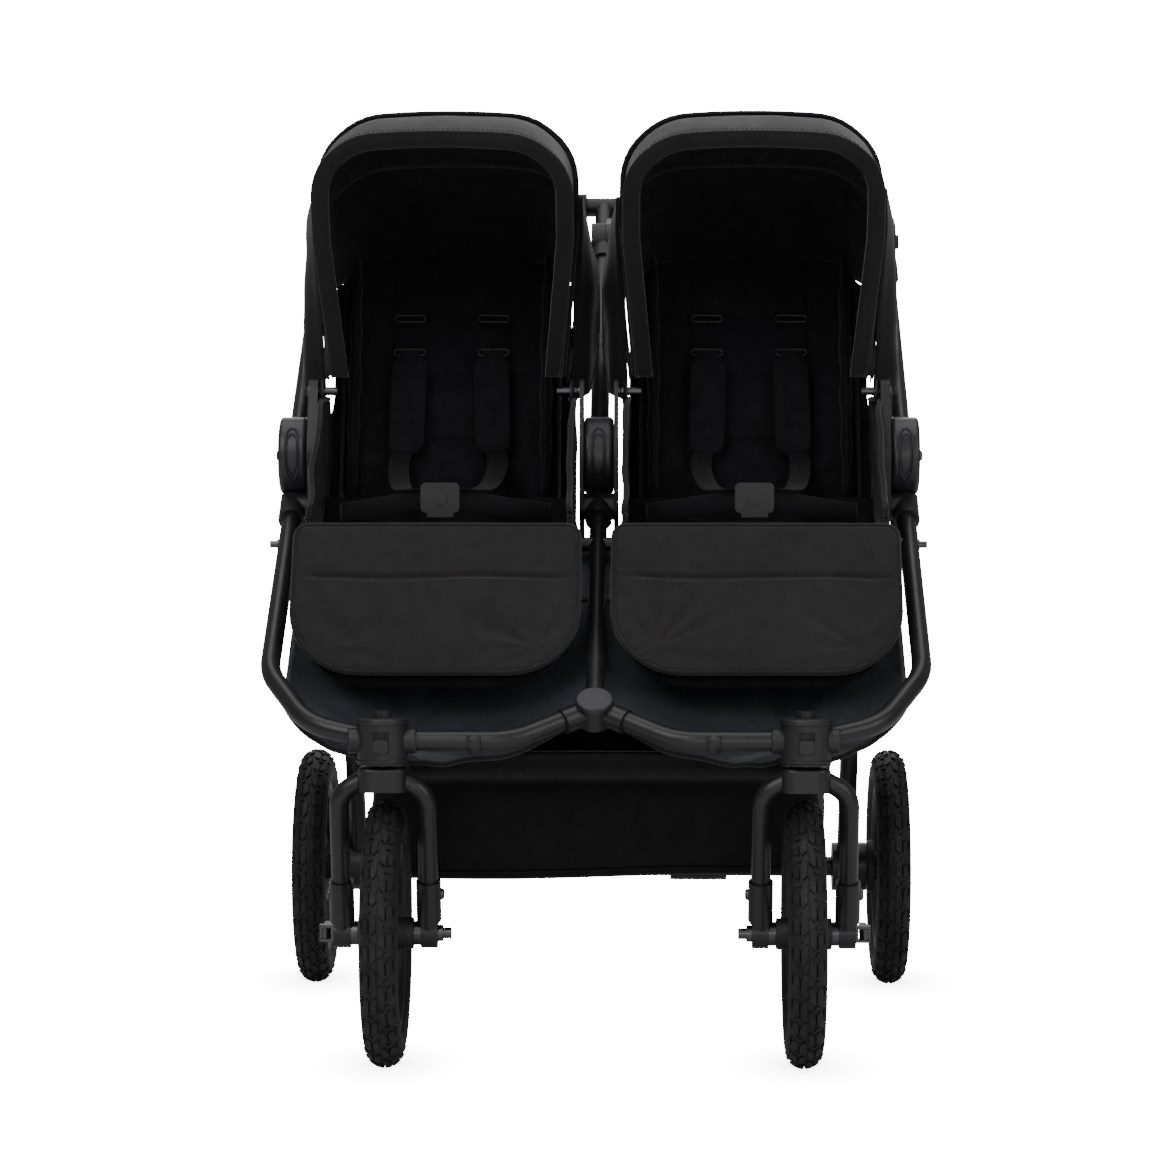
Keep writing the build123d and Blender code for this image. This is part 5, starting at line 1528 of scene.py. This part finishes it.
def bulgeAt(edgeName, height):
    knots = gussetBulge[edgeName]
    for (lowZ, lowX), (highZ, highX) in zip(knots, knots[1:]):
        if height <= highZ:
            return lowX + (highX - lowX) * max(0.0, (height - lowZ) / (highZ - lowZ))
    return knots[-1][1]


for sideName, side in seatSides:
    for edgeName, edge in (("Outer", 1), ("Inner", -1)):
        g = gussetSizes
        perRow = g["turnedColumns"] + g["columns"] + 1
        rows = []
        for row in range(g["rows"] + 1):
            share = row / g["rows"]
            for column in range(perRow):
                back = max(0.0, (column - g["turnedColumns"]) / g["columns"])
                turned = max(0.0, (g["turnedColumns"] - column) / g["turnedColumns"])
                turn = math.radians(-2 - 64 * back)
                topReach = g["topReach"][edgeName]
                high = Vector((0, canopyPlace.y - math.sin(turn) * topReach,
                               canopyPlace.z + math.cos(turn) * topReach))
                lowY = g["footY"] + g["footRun"] * back
                lowZ = g["footZ"] + g["footSlope"] * max(0.0, lowY - g["footY"])
                low = Vector((0, canopyPlace.y + lowY, lowZ))
                point = low.lerp(high, share)
                reach = math.hypot(point.y - canopyPlace.y, point.z - canopyPlace.z)
                hoodRise = min(1.0, max(0.0, reach - canopySizes["footRadius"]) / 0.172)
                profileX = canopySizes["foot"] + 0.015 * hoodRise
                crease = noise.noise(Vector((share * 5, back * 5, side + edge * 3)))
                pleat = noise.noise(Vector((back * 9, share * 1.5, side * 2 + edge)))
                settle = smoothStep(0.0, 0.22, share) * smoothStep(1.0, 0.86, share)
                x = profileX + 0.002 + bulgeAt(edgeName, point.z) * smoothStep(-0.02, 0.16, back)
                x += (0.0030 * crease + 0.0018 * pleat) * settle * smoothStep(0.0, 0.2, back)
                x += (g["turnedX"] - x) * turned
                x = min(x, g["limitX"][edgeName])
                rows.append(Vector((side * seatX + side * edge * x, point.y, point.z)))
        gusset = thicken(meshPiece("gusset", rows, gridFaces(g["rows"] + 1, perRow), canopyCloth), g["cloth"])
        hem = ringTube("hem", rows[:perRow], g["hem"], pipingCloth, sides=6)
        gusset = joinPieces("canopyGusset" + edgeName + "_" + sideName, [gusset, hem])
        smoothShade(gusset)
        assign(gusset, "chassis")
        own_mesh(gusset)
        declareSheet(gusset, 0.33, 0.29)
